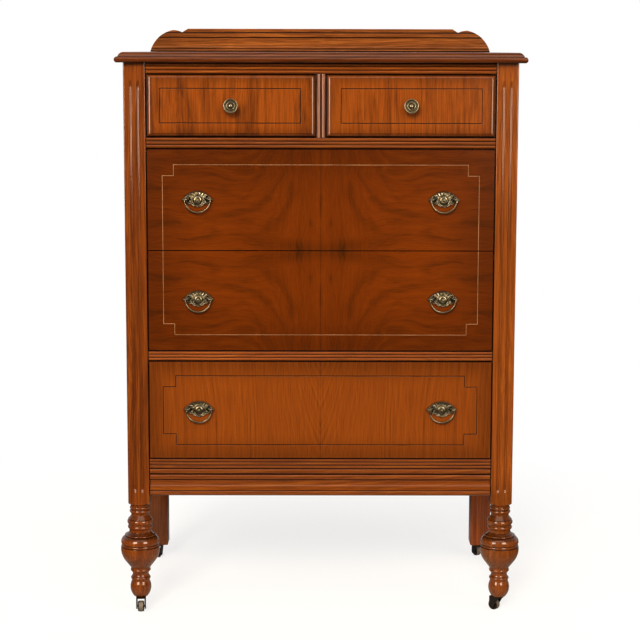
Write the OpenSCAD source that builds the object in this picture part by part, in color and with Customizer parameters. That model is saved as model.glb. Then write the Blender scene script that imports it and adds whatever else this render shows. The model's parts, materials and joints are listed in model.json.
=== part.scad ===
// Tall chest of five drawers on turned front legs and casters, with a shaped gallery on its top.
// All sizes are in millimetres. The floor is z = 0, the front is towards -Y.

/* [Case] */
// Width over the outer faces of the front posts
case_w = 878; // [800:1:980]
// Depth from the front of the posts to the back of the rear posts
case_d = 512; // [460:1:580]
// Height of the apron's lower edge above the floor
apron_z = 277; // [268:1:310]
// Height of the moulded apron
apron_h = 63.5; // [63:0.5:72]
// Height of the reeded base rail over the apron
base_rail_h = 22.5; // [22:0.5:28]
// Height of the opening for the bottom drawer
low_open_h = 227; // [200:1:250]
// Height of the reeded rail over the bottom drawer
mid_rail_h = 21.5; // [21:0.5:28]
// Height of each of the two large drawers that meet without a rail in view
big_h = 229; // [205:1:250]
// Height of the reeded rail under the small drawers
up_rail_h = 23.5; // [22:0.5:28]
// Height of the openings for the two small drawers
small_open_h = 141.5; // [120:0.5:170]
// Height of the reeded rail under the top
frieze_h = 24; // [22:0.5:30]

/* [Posts] */
// Width and depth of a front post
post_w = 49; // [46:1:54]
// Radius of the long rounded edges of a front post
post_edge = 2.5; // [1:0.5:4]
// Radius of the gouge that cut the two flutes in a post's face
flute_r = 4.2; // [3.5:0.1:5]
// Depth of a flute
flute_depth = 3; // [2:0.1:3.4]
// Distance from the top of the case down to the flutes
flute_top = 54; // [40:1:80]
// Distance from the post block's lower end up to the flutes
flute_foot = 45; // [35:1:70]
// Radius on which a flute runs out at its ends
flute_runout = 38; // [25:1:60]
// Width of a rear post
rear_post_w = 50; // [46:1:54]
// Depth of a rear post
rear_post_d = 46; // [42:1:50]
// Distance that the rear posts stand in from the front posts' outer faces
rear_inset = 3.5; // [0:0.5:8]

/* [Turned leg] */
// Height of the square block's lower end above the floor
block_z = 254; // [250:1:258]
// Height of the wooden feet's lower ends above the floor
foot_z = 35; // [33:0.5:40]
// Greatest radius of the vase
vase_r = 44.8; // [38:0.2:46]
// Radius on which the vase swells
vase_curve = 46; // [44:1:60]
// Height at which the vase's curve runs into its straight taper
vase_z = 119; // [114:1:124]
// Radius of the vase's lower end
vase_foot_r = 23.3; // [22.4:0.1:25]

/* [Top] */
// Thickness of the top board
top_t = 23; // [20:0.5:28]
// Overhang of the top board at the front and the sides
top_over = 18; // [14:0.5:26]
// Overhang of the top board at the back
top_back = 4; // [0:0.5:10]
// Radius of the round nose under the top's edge
nose_r = 6.5; // [5:0.1:7.5]
// Width and height of the small step over the nose
step_w = 1; // [0.5:0.1:2]
// Radius of the round shoulder between the step and the top's upper face
shoulder_r = 14; // [12:0.5:20]
// Height of the gallery above the top
gallery_h = 56; // [50:0.5:70]
// Thickness of the gallery board
gallery_t = 16; // [12:0.5:20]
// Distance from the end of the top to the end of the gallery
gallery_inset = 37; // [25:1:60]
// Length of each end lobe of the gallery
lobe_len = 79; // [70:1:90]

/* [Mouldings] */
// Depth of the front rails from front to back
rail_d = 58; // [45:1:70]
// Distance that the rails' flat faces lie behind the posts' faces
rail_set = 3.2; // [2.5:0.1:5]
// Gap between the end of a rail's reeding and the post
reed_end = 1.5; // [0.5:0.1:3]
// Width of the upright stile between the small drawers
stile_w = 20; // [18:0.5:26]
// Radius of the moulded edge on the small drawers' fronts
lip_r = 9; // [6:0.5:11]
// Depth of the step between the field of a small drawer's front and its quarter round
lip_step = 1.2; // [0.8:0.1:2]
// Distance that the small drawers' fronts stand in front of the posts
lip_proud = 4; // [0:0.5:8]

/* [Drawers] */
// Thickness of the drawer fronts
front_t = 22; // [20:0.5:26]
// Gap round a drawer front
front_gap = 1.4; // [1:0.1:2.5]
// Gap between the two large fronts that meet
split_gap = 2; // [1:0.1:3]
// Thickness of the drawer sides and backs
side_t = 12; // [10:0.5:14]
// Thickness of the drawer bottoms
bottom_t = 5; // [4:0.5:7]
// Height of the drawer bottom above the lower edge of the sides
bottom_up = 11; // [9:0.5:16]
// Space between the top of a drawer box and the frame over it
box_head = 13; // [8:0.5:20]
// Depth of the grooves and dadoes in the drawer boxes
groove = 5; // [4:0.5:6]
// Length of the dovetails
tail_len = 12; // [10:0.5:16]
// Greatest width of a dovetail
tail_w = 15; // [12:0.5:18]
// Spacing of the dovetails, which a drawer's height rounds to a whole number
tail_pitch = 25; // [22:0.5:36]
// Gap left in glued and seated joints
fit = 0.1; // [0.05:0.01:0.2]
// Running gap between a drawer and its runners and guides
run_gap = 0.4; // [0.2:0.1:1]

/* [Frame] */
// Thickness of the drawer runners and hidden rails
runner_t = 20; // [18:0.5:22]
// Width of the runners
runner_w = 46; // [36:1:56]
// Depth of the frame rails at the back
back_bar_d = 30; // [24:1:40]
// Height of the guides beside the drawers
guide_h = 14; // [10:0.5:20]
// Thickness of the dust panels
dust_t = 4; // [3:0.5:5]
// Thickness of the side rails and rear rails
side_rail_t = 20; // [18:0.5:22]
// Height of the side rails and rear rails
side_rail_h = 60; // [50:1:80]
// Distance that the side rails lie inside the posts' outer faces
side_set = 6; // [4:0.5:8]
// Thickness of the side panels
panel_t = 7; // [5:0.5:8]
// Thickness of the back panel
back_t = 5; // [4:0.5:6]
// Width of the rabbets that hold the back panel
rabbet_w = 12; // [8:0.5:16]
// Length of the rails' tenons
tenon_l = 20; // [14:0.5:22]
// Thickness of the rails' tenons
tenon_t = 9; // [7:0.5:11]
// Shoulder above and below a tenon
tenon_up = 4; // [3:0.5:6]
// Width of the runner under the inner sides of the small drawers
center_w = 80; // [66:1:110]
// Depth of the grooves for the dust panels and the stub tenons
sink = 6; // [5:0.5:8]

/* [Hardware] */
// Distance from the middle of the chest to the middle of a pull
pull_x = 275.5; // [220:0.5:310]
// Height of the bottom, middle and top pulls above the middles of their drawers
pull_rise = [0, 3, -1];
// Radius of a bail's curve, to the middle of its wire
bail_r = 29; // [27:0.5:31]
// Radius of the bail's wire
bail_wire = 1.9; // [1.6:0.1:2.2]
// Distance from the drawer's face to the middle of the bail
bail_out = 9.5; // [8.5:0.1:12]
// Thickness of a pull's back plate
plate_t = 2.2; // [1.8:0.1:3]
// Radius of the bail's pivot pins
pivot_r = 1.2; // [1:0.05:1.4]
// Radial running clearance of pins and stems
run_fit = 0.06; // [0.02:0.01:0.1]
// Radius of a pull's bolts
bolt_r = 2; // [1.5:0.1:2.5]
// Radius of a knob
knob_r = 16.5; // [14:0.5:20]
// Distance that a knob stands out from its drawer
knob_out = 24; // [20:0.5:30]

/* [Casters] */
// Radius of a caster's wheel
wheel_r = 12.5; // [11:0.1:13]
// Width of a caster's wheel
wheel_w = 14.5; // [10:0.5:16]
// Thickness of the fork's arms
arm_t = 3; // [2:0.1:3.4]
// Distance from the stem's axis back to the wheel's axle
trail = 12; // [9:0.5:14]
// Radius of the axle pin
axle_r = 2; // [1.6:0.1:2.5]
// Radius of the fork's stem
stem_r = 4; // [3.5:0.1:4.5]
// Length of the stem
stem_l = 30; // [22:1:34]
// Directions in which the wheels trail: front left, front right, rear left, rear right
caster_turn = [-86, 140, 260, 115];

/* [Hidden] */
$fn = 64;

// Colours of the finishes
frame_wood = "#8a4420";
front_wood = "#8e4a22";
figured_wood = "#763216";
inner_wood = "#b98a57";
brass = "#7d6f45";
iron = "#2c2823";
wheel_grey = "#a59a88";

// Levels of the front, from the floor up
z_base = apron_z + apron_h + base_rail_h;
z_mid = z_base + low_open_h;
z_pair = z_mid + mid_rail_h;
z_split = z_pair + big_h;
z_up = z_pair + 2 * big_h;
z_small = z_up + up_rail_h;
z_frieze = z_small + small_open_h;
z_top = z_frieze + frieze_h;
// Floor of the upper large drawer, on the hidden rail behind the meeting fronts
z_shelf = z_split + runner_t / 2;
// Upper faces of the frames that carry the drawers
frame_levels = [z_base, z_pair, z_shelf, z_small];
// Lower face of the groove in the frame whose upper face is at z
function groove_z(z) = z - (runner_t + dust_t) / 2;

half_w = case_w / 2;
open_w = case_w - 2 * post_w;
post_x = half_w - post_w / 2;
rear_x = half_w - rear_inset - rear_post_w / 2;
rear_y = case_d - rear_post_d;
rear_mid = rear_y + rear_post_d / 2;
top_half = half_w + top_over;

// The gallery's back face, and the depth of its seat in the top
gallery_back = case_d + top_back - 2;
gallery_sink = 1.5;

// Hidden frame
rail_x = half_w - side_set;
rail_in = rail_x - side_rail_t;
bar_y = rear_y - back_bar_d;
back_y = case_d - back_t;
rear_in = rear_x - rear_post_w / 2;
guide_x = open_w / 2 - front_gap + run_gap;
divider_half = stile_w / 2 + front_gap - run_gap;
hidden_y = front_t + 1;
tenon_y = rail_set + 10;

// Drawers
box_back = bar_y + back_bar_d - 12;
small_w = (open_w - stile_w) / 2;
small_x = (open_w + stile_w) / 4;

// Hardware
bolt_x = 16;
lug_w = 3;
lug_r = pivot_r + 1.7;
lug_x = bail_r - bail_wire - 0.3 - lug_w / 2;
nut_r = 5;
nut_t = 3;
plate_gap = 0.05;

// Casters
flange_t = 1.5;
flange_r = 11;
horn_t = 2;
horn_r = 11.5;
swivel_gap = 0.3;
fork_top = foot_z - flange_t - swivel_gap;
wheel_gap = 0.8;
socket_r = stem_r + run_fit + 1.4;
front_reach = lip_proud + knob_out;
caster_at = [[-post_x, post_w / 2], [post_x, post_w / 2], [-rear_x, rear_mid], [rear_x, rear_mid]];

// The chest's origin is on the floor under the middle of its outline
module placed() {
    translate([0, (front_reach - case_d - top_back) / 2, 0]) children();
}

// A block between two opposite corners
module block(a, b) {
    translate(a) cube(b - a);
}

// A round bar along X between two ends
module bar_x(x0, x1, y, z, r) {
    translate([x0, y, z]) rotate([0, 90, 0]) cylinder(h = x1 - x0, r = r);
}

// An outline drawn in Y and Z, run along X over a length that is centred on x = 0
module along_x(length) {
    rotate([90, 0, 90]) translate([0, 0, -length / 2]) linear_extrude(length) children();
}

// Both hands of a piece that lies on +X
module pair() {
    children();
    mirror([1, 0, 0]) children();
}

// Tenons of a front rail, or their mortises when grown by the fit
module rail_tenons(z0, z1, grow = 0, y0 = tenon_y) {
    pair()
    block([open_w / 2 - grow, y0 - grow, z0 + tenon_up - grow],
          [open_w / 2 + tenon_l + 4 * grow, y0 + tenon_t + grow, z1 - tenon_up + grow]);
}

// The flat body of a front rail with its tenons, and with a groove if it fronts the frame at dust_z
module rail_body(z0, z1, dust_z) {
    difference() {
        union() {
            block([-open_w / 2, rail_set, z0], [open_w / 2, rail_d, z1]);
            rail_tenons(z0, z1);
        }
        if (dust_z > 0) front_groove(dust_z);
    }
}

// Outline of reeds that share a height between z0 and z1 and just reach the posts' faces
module reeds(z0, z1, n) {
    pitch = (z1 - z0) / n;
    bead = pitch * 0.56;
    intersection() {
        translate([0, z0]) square([rail_set + 1, z1 - z0]);
        union() {
            for (i = [0 : n - 1]) translate([bead, z0 + (i + 0.5) * pitch]) circle(bead);
            translate([rail_set, z0]) square([1, z1 - z0]);
        }
    }
}

module reeded_rail(z0, z1, n, dust_z = 0) {
    union() {
        rail_body(z0, z1, dust_z);
        along_x(open_w - 2 * reed_end) reeds(z0, z1, n);
    }
}

module frieze_rail() {
    color(frame_wood) difference() {
        reeded_rail(z_frieze, z_top, 3);
        stile_tenons(fit);
    }
}

module upper_rail() {
    color(frame_wood) difference() {
        reeded_rail(z_up, z_small, 3, z_small);
        stile_tenons(fit);
    }
}

module middle_rail() {
    color(frame_wood) reeded_rail(z_mid, z_pair, 3, z_pair);
}

module base_rail() {
    color(frame_wood) reeded_rail(z_base - base_rail_h, z_base, 3, z_base);
}

// Outline of the apron: two broad reeds, an ogee and a bead along the lower edge
module apron_outline() {
    reed = 6.75;
    bead = 6.5;
    cove = 11;
    z1 = apron_z + apron_h;
    z_cove = apron_z + 2 * bead + 1;
    z_reeds = z1 - 4 * reed;
    face = rail_set + 2;
    for (i = [0, 1]) translate([reed - 0.6, z1 - reed * (2 * i + 1)]) circle(reed);
    translate([bead - 1.6, apron_z + bead]) circle(bead);
    difference() {
        union() {
            translate([face, apron_z + bead]) square([rail_d / 2 - face, apron_h - bead]);
            translate([bead - 1.6, apron_z]) square([rail_d / 2 - bead, apron_h - 2 * bead]);
            translate([0, z_cove - 1]) square([face + 1, z_reeds - z_cove]);
        }
        translate([-cove * 0.55, z_reeds - cove * 0.55]) circle(cove);
    }
}

module apron_moulding() {
    z1 = apron_z + apron_h;
    color(frame_wood) union() {
        along_x(open_w - 2 * reed_end) apron_outline();
        block([-open_w / 2, rail_set + 6, apron_z + 8], [open_w / 2, rail_d / 2, z1]);
        rail_tenons(apron_z + 8, z1);
    }
}

// Stub tenons at both ends of the center stile
module stile_tenons(grow = 0) {
    block([-stile_w / 2 + 4 - grow, tenon_y - grow, z_small - sink - 2 * grow],
          [stile_w / 2 - 4 + grow, tenon_y + tenon_t + grow, z_frieze + sink + 2 * grow]);
}

module center_stile() {
    reed = stile_w / 4;
    color(frame_wood) union() {
        stile_tenons();
        block([-stile_w / 2, rail_set, z_small], [stile_w / 2, rail_d / 2, z_frieze]);
        for (s = [-1, 1])
            translate([s * stile_w / 4, reed, z_small]) cylinder(h = small_open_h, r = reed);
    }
}

module center_divider() {
    color(inner_wood)
    block([-divider_half, rail_d / 2 + fit, z_small], [divider_half, rear_y, z_frieze]);
}

// Outline of a board of length d whose edge has a round nose, a small step and a round shoulder.
// Both arcs are cut just short of level, so that the mitred corners stay sharp.
module top_edge(d, both_ends) {
    nose = 2 * nose_r;
    nose_arc = nose_r * 1.05;
    shoulder_z = top_t - shoulder_r * 0.98;
    e_step = nose_r + step_w;
    e_top = e_step + sqrt(pow(shoulder_r, 2) - pow(nose + step_w - shoulder_z, 2));
    module moulded_half() {
        intersection() {
            translate([nose_arc, nose_r]) circle(nose_arc);
            square([nose_arc, nose]);
        }
        translate([nose_r, 0]) square([d / 2, nose]);
        translate([e_step, 0]) square([d / 2, nose + step_w]);
        intersection() {
            translate([e_step, nose]) square([d / 2, top_t - nose]);
            union() {
                translate([e_top, shoulder_z]) circle(shoulder_r);
                translate([e_top, 0]) square([d / 2, top_t]);
            }
        }
    }
    moulded_half();
    if (both_ends) translate([d, 0]) mirror([1, 0]) moulded_half();
    else translate([d / 2, 0]) square([d / 2, top_t]);
}

module top_board() {
    depth = top_over + case_d + top_back;
    color(frame_wood) difference() {
        translate([0, -top_over, z_top]) intersection() {
            along_x(2 * top_half) top_edge(depth, false);
            translate([-top_half, depth, 0]) rotate([90, 0, 0])
            linear_extrude(depth) top_edge(2 * top_half, true);
        }
        gallery_foot(fit);
    }
}

// Foot of the gallery, let into a shallow groove in the top, or that groove when grown by the fit
module gallery_foot(grow = 0) {
    end = top_half - gallery_inset;
    translate([0, gallery_back, z_top + top_t])
    block([-end - grow, -gallery_t - grow, -gallery_sink], [end + grow, grow, grow > 0 ? 1 : 0.5]);
}

// Outline of the gallery's right half, measured up from the top board
module gallery_half() {
    end = top_half - gallery_inset;
    slope = 14.5;
    drop = 8.7;
    notch = end - lobe_len;
    notch_h = gallery_h - drop;
    lobe_r = 71;
    crest_r = 50;
    crest_x = notch + 22.4;
    polygon([[-1, 0], [-1, gallery_h], [notch - slope, gallery_h], [notch, notch_h],
             [notch + slope / 2, notch_h - drop / 2], [notch + slope / 2, 0]]);
    intersection() {
        translate([notch, 0]) square([lobe_len, gallery_h]);
        translate([end - lobe_r + 2.2, -17.3]) circle(lobe_r);
        union() {
            translate([crest_x, notch_h - 44.7]) circle(crest_r);
            translate([crest_x, 0]) square([end - crest_x, gallery_h]);
        }
    }
}

// Outline of the gallery's face in Y and Z: two beads, a flat field, and two bands along the top
module gallery_profile() {
    base_bead = 2.75;
    bead = 3.5;
    band = 21;
    groove_r = 1.3;
    face = 2.2;
    translate([face, 0]) square([gallery_t - face, gallery_h]);
    translate([base_bead, base_bead + 0.5]) circle(base_bead);
    translate([bead, 2 * base_bead + bead + 1.5]) circle(bead);
    difference() {
        translate([0.5, gallery_h - band]) square([face, band]);
        for (drop = [9.4, band]) translate([0, gallery_h - drop]) circle(groove_r);
    }
}

module gallery_board() {
    color(frame_wood) {
        translate([0, gallery_back, z_top + top_t]) intersection() {
            rotate([90, 0, 0]) linear_extrude(gallery_t) pair_2d() gallery_half();
            translate([0, -gallery_t, 0]) along_x(2 * top_half) gallery_profile();
        }
        gallery_foot();
    }
}

module pair_2d() {
    children();
    mirror([1, 0]) children();
}

// Half outline of the turned leg, from the block down: beads, ball, vase, collar and ball foot
module leg_outline() {
    // A ring given by its greatest radius, its middle height and its bead radius
    module ring(r_max, z, bead) {
        translate([r_max - bead, z]) circle(bead);
        translate([0, z - bead]) square([r_max - bead, 2 * bead]);
    }
    // A plain stretch of the given radius
    module neck(r, z0, z1) {
        translate([0, z0]) square([r, z1 - z0]);
    }
    // A stretch that tapers from r0 at z0 to r1 at z1
    module taper(r0, z0, r1, z1) {
        polygon([[0, z0], [r0, z0], [r1, z1], [0, z1]]);
    }
    neck(21.5, 232, block_z + 3);
    ring(23.4, 245, 3);
    ring(23.9, 236.75, 4.25);
    neck(20.2, 226, 234);
    taper(27.6, 218.6, 20.2, 227.4);
    ring(29.4, 212, 7.5);
    neck(26.5, 198, 219);
    ring(28.4, 199.5, 4.5);
    neck(24.9, 187, 198);
    taper(34, 180.4, 24.9, 188);
    ring(35.6, 180.2, 1.7);
    intersection() {
        neck(50, 160.4, 179.4);
        translate([30, 165]) circle(14);
    }
    neck(30, 150, 180);
    neck(41, 158, 163);
    ring(43.5, 156.5, 3.7);
    neck(42.5, 150, 156);
    intersection() {
        neck(50, vase_z, 152.6);
        translate([vase_r - vase_curve, 148]) circle(vase_curve);
    }
    taper(vase_foot_r, 104.6, vase_r - vase_curve + sqrt(pow(vase_curve, 2) - pow(148 - vase_z, 2)), vase_z);
    neck(22.3, 95, 106);
    ring(23.1, 97.6, 3.3);
    neck(20.8, 70, 96);
    ring(22.7, 78.8, 3.4);
    intersection() {
        neck(30, foot_z, 71.6);
        translate([24.1 - 33.1, 57]) circle(33.1);
    }
}

module turned_leg() {
    cove = 8;
    difference() {
        rotate_extrude($fn = 96) difference() {
            intersection() {
                translate([0, foot_z]) square([60, 260]);
                leg_outline();
            }
            translate([18.4 + cove, 88.2]) circle(cove);
        }
        translate([0, 0, foot_z - 1]) cylinder(h = stem_l + 5, r = socket_r + fit);
    }
}

// One flute: a straight gouge cut that curves out of the wood at both ends
module flute(z0, z1) {
    turn = acos(1 - (flute_depth + 0.6) / flute_runout);
    translate([0, flute_depth - flute_r, 0]) {
        translate([0, 0, z0]) cylinder(h = z1 - z0, r = flute_r, $fn = 32);
        for (end = [0, 1])
            translate([0, -flute_runout, end == 0 ? z0 : z1])
            mirror([0, 0, 1 - end])
            rotate([90, 0, 90]) rotate_extrude(angle = turn, $fn = 96)
            translate([flute_runout, 0]) circle(flute_r, $fn = 32);
    }
}

// A front post on +X, with mortises, panel groove, flutes and the turned leg
module front_post() {
    color(frame_wood) {
        difference() {
            translate([post_x, post_w / 2, 0]) intersection() {
                translate([0, 0, block_z]) linear_extrude(z_top - block_z) rounded_square(post_w, post_edge);
                union() {
                    translate([0, 0, block_z]) cylinder(h = 9, r1 = 26, r2 = 37);
                    translate([0, 0, block_z + 9]) cylinder(h = z_top, r = 60);
                }
            }
            for (s = [-1, 1])
                translate([post_x + s * post_w / 6, 0, 0]) flute(block_z + flute_foot, z_top - flute_top);
            front_mortises();
        }
        translate([post_x, post_w / 2, 0]) turned_leg();
    }
}

module rounded_square(w, r) {
    square([w - 2 * r, w], center = true);
    square([w, w - 2 * r], center = true);
    for (x = [-1, 1], y = [-1, 1]) translate([x * (w / 2 - r), y * (w / 2 - r)]) circle(r, $fn = 32);
}

module front_mortises() {
    rail_tenons(z_frieze, z_top, fit);
    rail_tenons(z_up, z_small, fit);
    rail_tenons(z_mid, z_pair, fit);
    rail_tenons(z_base - base_rail_h, z_base, fit);
    rail_tenons(apron_z + 8, apron_z + apron_h, fit);
    rail_tenons(z_shelf - runner_t, z_shelf, fit, hidden_y);
    side_tenons(fit);
    side_panel_blank(fit);
}

module front_post_left() {
    mirror([1, 0, 0]) front_post();
}

module front_post_right() {
    front_post();
}

// A plain rear post on +X, rabbeted for the back panel
module rear_post() {
    foot_round = 3.5;
    color(frame_wood) difference() {
        block([rear_in, rear_y, foot_z], [rear_in + rear_post_w, case_d, z_top]);
        block([rear_in - 1, back_y - fit, apron_z], [rear_in + rabbet_w, case_d + 1, z_top + 1]);
        side_tenons(fit);
        side_panel_blank(fit);
        back_tenons(fit);
        translate([rear_x, rear_mid, foot_z - 1]) cylinder(h = stem_l + 5, r = socket_r + fit);
        for (s = [0, 1]) translate([rear_in + s * rear_post_w, rear_y - 1, foot_z]) mirror([s, 0, 0])
            difference() {
                translate([-1, 0, -1]) cube([foot_round + 1, rear_post_d + 2, foot_round + 1]);
                translate([foot_round, -1, foot_round]) rotate([-90, 0, 0])
                cylinder(h = rear_post_d + 4, r = foot_round);
            }
    }
}

module rear_post_left() {
    mirror([1, 0, 0]) rear_post();
}

module rear_post_right() {
    rear_post();
}

// Tenons of the side rails on +X
module side_tenons(grow = 0) {
    for (z0 = [apron_z, z_top - side_rail_h])
        block([rail_in + 5 - grow, post_w - tenon_l - 4 * grow, z0 + tenon_up - grow],
              [rail_in + 5 + tenon_t + grow, rear_y + tenon_l + 4 * grow,
               z0 + side_rail_h - tenon_up + grow]);
}

// Tenons of the rear rails
module back_tenons(grow = 0) {
    for (z0 = [apron_z, z_top - side_rail_h])
        pair() block([rear_in - 1, back_y - side_rail_t + 5 - grow, z0 + tenon_up - grow],
                     [rear_in + tenon_l + 4 * grow, back_y - side_rail_t + 5 + tenon_t + grow,
                      z0 + side_rail_h - tenon_up + grow]);
}

// The side panel on +X, let into the posts and the side rails
module side_panel_blank(grow = 0) {
    x0 = rail_in + (side_rail_t - panel_t) / 2;
    block([x0 - grow, post_w - sink - grow, apron_z + side_rail_h - sink - grow],
          [x0 + panel_t + grow, rear_y + sink + grow, z_top - side_rail_h + sink + grow]);
}

module side_panel_left() {
    color(frame_wood) mirror([1, 0, 0]) side_panel_blank();
}

module side_panel_right() {
    color(frame_wood) side_panel_blank();
}

module back_panel() {
    x1 = rear_in + rabbet_w - fit;
    color(inner_wood) block([-x1, back_y, apron_z + 2], [x1, case_d, z_top - fit]);
}

// Rails out of sight: at the sides, at the back, behind the meeting drawers and in each frame
module hidden_rails() {
    color(frame_wood) pair() difference() {
        union() {
            for (z0 = [apron_z, z_top - side_rail_h])
                block([rail_in, post_w, z0], [rail_x, rear_y, z0 + side_rail_h]);
            side_tenons();
        }
        side_panel_blank(fit);
    }
    color(inner_wood) {
        for (z0 = [apron_z, z_top - side_rail_h])
            block([-rear_in, back_y - side_rail_t, z0], [rear_in, back_y, z0 + side_rail_h]);
        back_tenons();
        difference() {
            union() {
                block([-open_w / 2, hidden_y, z_shelf - runner_t], [open_w / 2, rail_d, z_shelf]);
                rail_tenons(z_shelf - runner_t, z_shelf, 0, hidden_y);
            }
            front_groove(z_shelf);
        }
        for (z = frame_levels) difference() {
            block([-rail_in, bar_y, z - runner_t], [rail_in, rear_y, z]);
            back_groove(z);
        }
    }
}

// Grooves along a frame's front and rear members
module front_groove(z) {
    block([-half_w, rail_d - sink - fit, groove_z(z) - fit],
          [half_w, rail_d + 1, groove_z(z) + dust_t + fit]);
}

module back_groove(z) {
    block([-half_w, bar_y - 1, groove_z(z) - fit], [half_w, bar_y + sink + fit, groove_z(z) + dust_t + fit]);
}

// Dust panels at the level z: two beside the center runner, or one between the side runners
module dust_slabs(z, grow = 0) {
    x_out = rail_in - runner_w + sink + grow;
    y0 = rail_d - sink - grow;
    y1 = bar_y + sink + grow;
    z0 = groove_z(z) - grow;
    z1 = groove_z(z) + dust_t + grow;
    if (z == z_small) pair() block([center_w / 2 - sink - grow, y0, z0], [x_out, y1, z1]);
    else block([-x_out, y0, z0], [x_out, y1, z1]);
}

module dust_panels() {
    color(inner_wood) for (z = frame_levels) dust_slabs(z);
}

// A lengthwise bar of a frame between x0 and x1, with stub tenons in both grooves
module frame_bar(x0, x1, z, tenon_x0, tenon_x1) {
    difference() {
        union() {
            block([x0, rail_d, z - runner_t], [x1, bar_y, z]);
            block([tenon_x0, rail_d - sink, groove_z(z)], [tenon_x1, bar_y + sink, groove_z(z) + dust_t]);
        }
        dust_slabs(z, fit);
    }
}

// Runners at the sides and in the middle, guides beside the drawers, and kickers over the small drawers
module runners_and_guides() {
    x0 = rail_in - runner_w;
    stub = sink + 3 * fit;
    color(inner_wood) {
        for (z = frame_levels) pair() {
            frame_bar(x0, rail_in, z, x0 + stub, open_w / 2 - fit);
            block([guide_x, rail_d, z], [rail_in, bar_y, z + guide_h]);
        }
        frame_bar(-center_w / 2, center_w / 2, z_small, stub - center_w / 2, center_w / 2 - stub);
        pair() block([x0, rail_d, z_frieze], [rail_in, rear_y, z_frieze + runner_t]);
        block([-center_w / 2, rail_d, z_frieze], [center_w / 2, back_y - side_rail_t, z_frieze + runner_t]);
    }
}

// Dovetails of one drawer side: each is wider towards the front, with half a pin at each edge
module tails(side_h, grow = 0) {
    n = floor((side_h - 6) / tail_pitch);
    pitch = (side_h - 4) / n;
    slope = tail_len / 6;
    for (i = [0 : n - 1]) {
        mid = 2 + pitch * (i + 0.5);
        translate([-grow, 0, mid]) rotate([90, 0, 90]) linear_extrude(side_t + 2 * grow)
        polygon([[0, -tail_w / 2 + slope - grow], [-tail_len - grow, -tail_w / 2 - grow],
                 [-tail_len - grow, tail_w / 2 + grow], [0, tail_w / 2 - slope + grow]]);
    }
}

// Drawer side on +X of a box of width w: its lower edge is at z = 0, its front shoulder at y = 0
module drawer_side(w, side_h, depth) {
    difference() {
        translate([w / 2 - side_t, 0, 0]) union() {
            block([0, fit, 0], [side_t, depth, side_h]);
            translate([0, fit, 0]) tails(side_h);
        }
        box_bottom(w, depth, fit);
        box_back_board(w, side_h, depth, fit);
    }
}

module box_bottom(w, depth, grow = 0) {
    block([-w / 2 + side_t - groove - grow, -groove - grow, bottom_up - grow],
          [w / 2 - side_t + groove + grow, depth + 5 * grow, bottom_up + bottom_t + grow]);
}

module box_back_board(w, side_h, depth, grow = 0) {
    y1 = depth - 10;
    block([-w / 2 + side_t - groove - grow, y1 - side_t - grow, bottom_up + bottom_t + fit - grow],
          [w / 2 - side_t + groove + grow, y1 + grow, side_h - 4 + 5 * sign(grow)]);
}

// Cuts in a drawer front for the dovetails and the bottom, in the box's own place
module front_cuts(w, side_h, depth) {
    pair() translate([w / 2 - side_t, 0, 0]) tails(side_h, fit);
    box_bottom(w, depth, fit);
}

// The boxes: clear width, height of the floor they run on, lower and upper edge of the front
function box_w(i) = (i < 3 ? open_w : small_w) - 2 * front_gap;
function box_floor(i) = [z_base, z_pair, z_shelf, z_small, z_small][i];
function front_low(i) = [z_base, z_pair, z_split, z_small, z_small][i] + (i == 2 ? split_gap / 2 : front_gap);
function front_high(i) = [z_mid, z_split, z_up, z_frieze, z_frieze][i] - (i == 1 ? split_gap / 2 : front_gap);
function box_head_z(i) = [z_mid, z_shelf - runner_t, z_up, z_frieze, z_frieze][i];
function box_h(i) = box_head_z(i) - box_floor(i) - box_head;
function box_x(i) = i == 3 ? -small_x : (i == 4 ? small_x : 0);
function face_y(i) = i < 3 ? 0 : -lip_proud;
function box_d(i) = box_back - face_y(i) - front_t;

// Puts a box piece of drawer i in its place in the chest
module in_drawer(i) {
    translate([box_x(i), face_y(i) + front_t, box_floor(i) + run_gap]) children();
}

module drawer_sides(i) {
    color(inner_wood) in_drawer(i) pair() drawer_side(box_w(i), box_h(i), box_d(i));
}

module drawer_back(i) {
    color(inner_wood) in_drawer(i) box_back_board(box_w(i), box_h(i), box_d(i));
}

module drawer_bottom(i) {
    color(inner_wood) in_drawer(i) box_bottom(box_w(i), box_d(i));
}

// Outline of a front of length d: a raised field with a small step and a quarter round at both ends
module lipped(d) {
    quarter = lip_r - lip_step;
    translate([0, lip_r]) square([front_t, d - 2 * lip_r]);
    translate([lip_r, 0]) square([front_t - lip_r, d]);
    for (end = [0, 1]) translate([0, end * d]) mirror([0, end]) intersection() {
        translate([lip_step, 0]) square([lip_r, lip_r + 1]);
        translate([lip_r + 0.2, lip_r + 0.2]) circle(quarter + 0.2);
    }
}

module drawer_front(i) {
    w = box_w(i);
    z0 = front_low(i);
    z1 = front_high(i);
    color(i == 0 || i > 2 ? front_wood : figured_wood) difference() {
        translate([box_x(i), face_y(i), z0]) {
            if (i < 3) block([-w / 2, 0, 0], [w / 2, front_t, z1 - z0]);
            else intersection() {
                along_x(w) lipped(z1 - z0);
                translate([w / 2, 0, 0]) rotate([0, 0, 90]) linear_extrude(z1 - z0) lipped(w);
            }
        }
        in_drawer(i) front_cuts(w, box_h(i), box_d(i));
        if (i < 3) for (x = [-pull_x, pull_x]) pull_place(i, x) pull_bolts(run_fit);
        else knob_place(i) translate([0, -1, 0]) rotate([-90, 0, 0])
            cylinder(h = front_t + 2, r = bolt_r + run_fit);
    }
}

// Height of the middle of drawer i's front
function front_mid(i) = (front_low(i) + front_high(i)) / 2;

module pull_place(i, x) {
    translate([x, 0, front_mid(i) + pull_rise[i]]) children();
}

module knob_place(i) {
    translate([box_x(i), face_y(i), front_mid(i)]) children();
}

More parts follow.
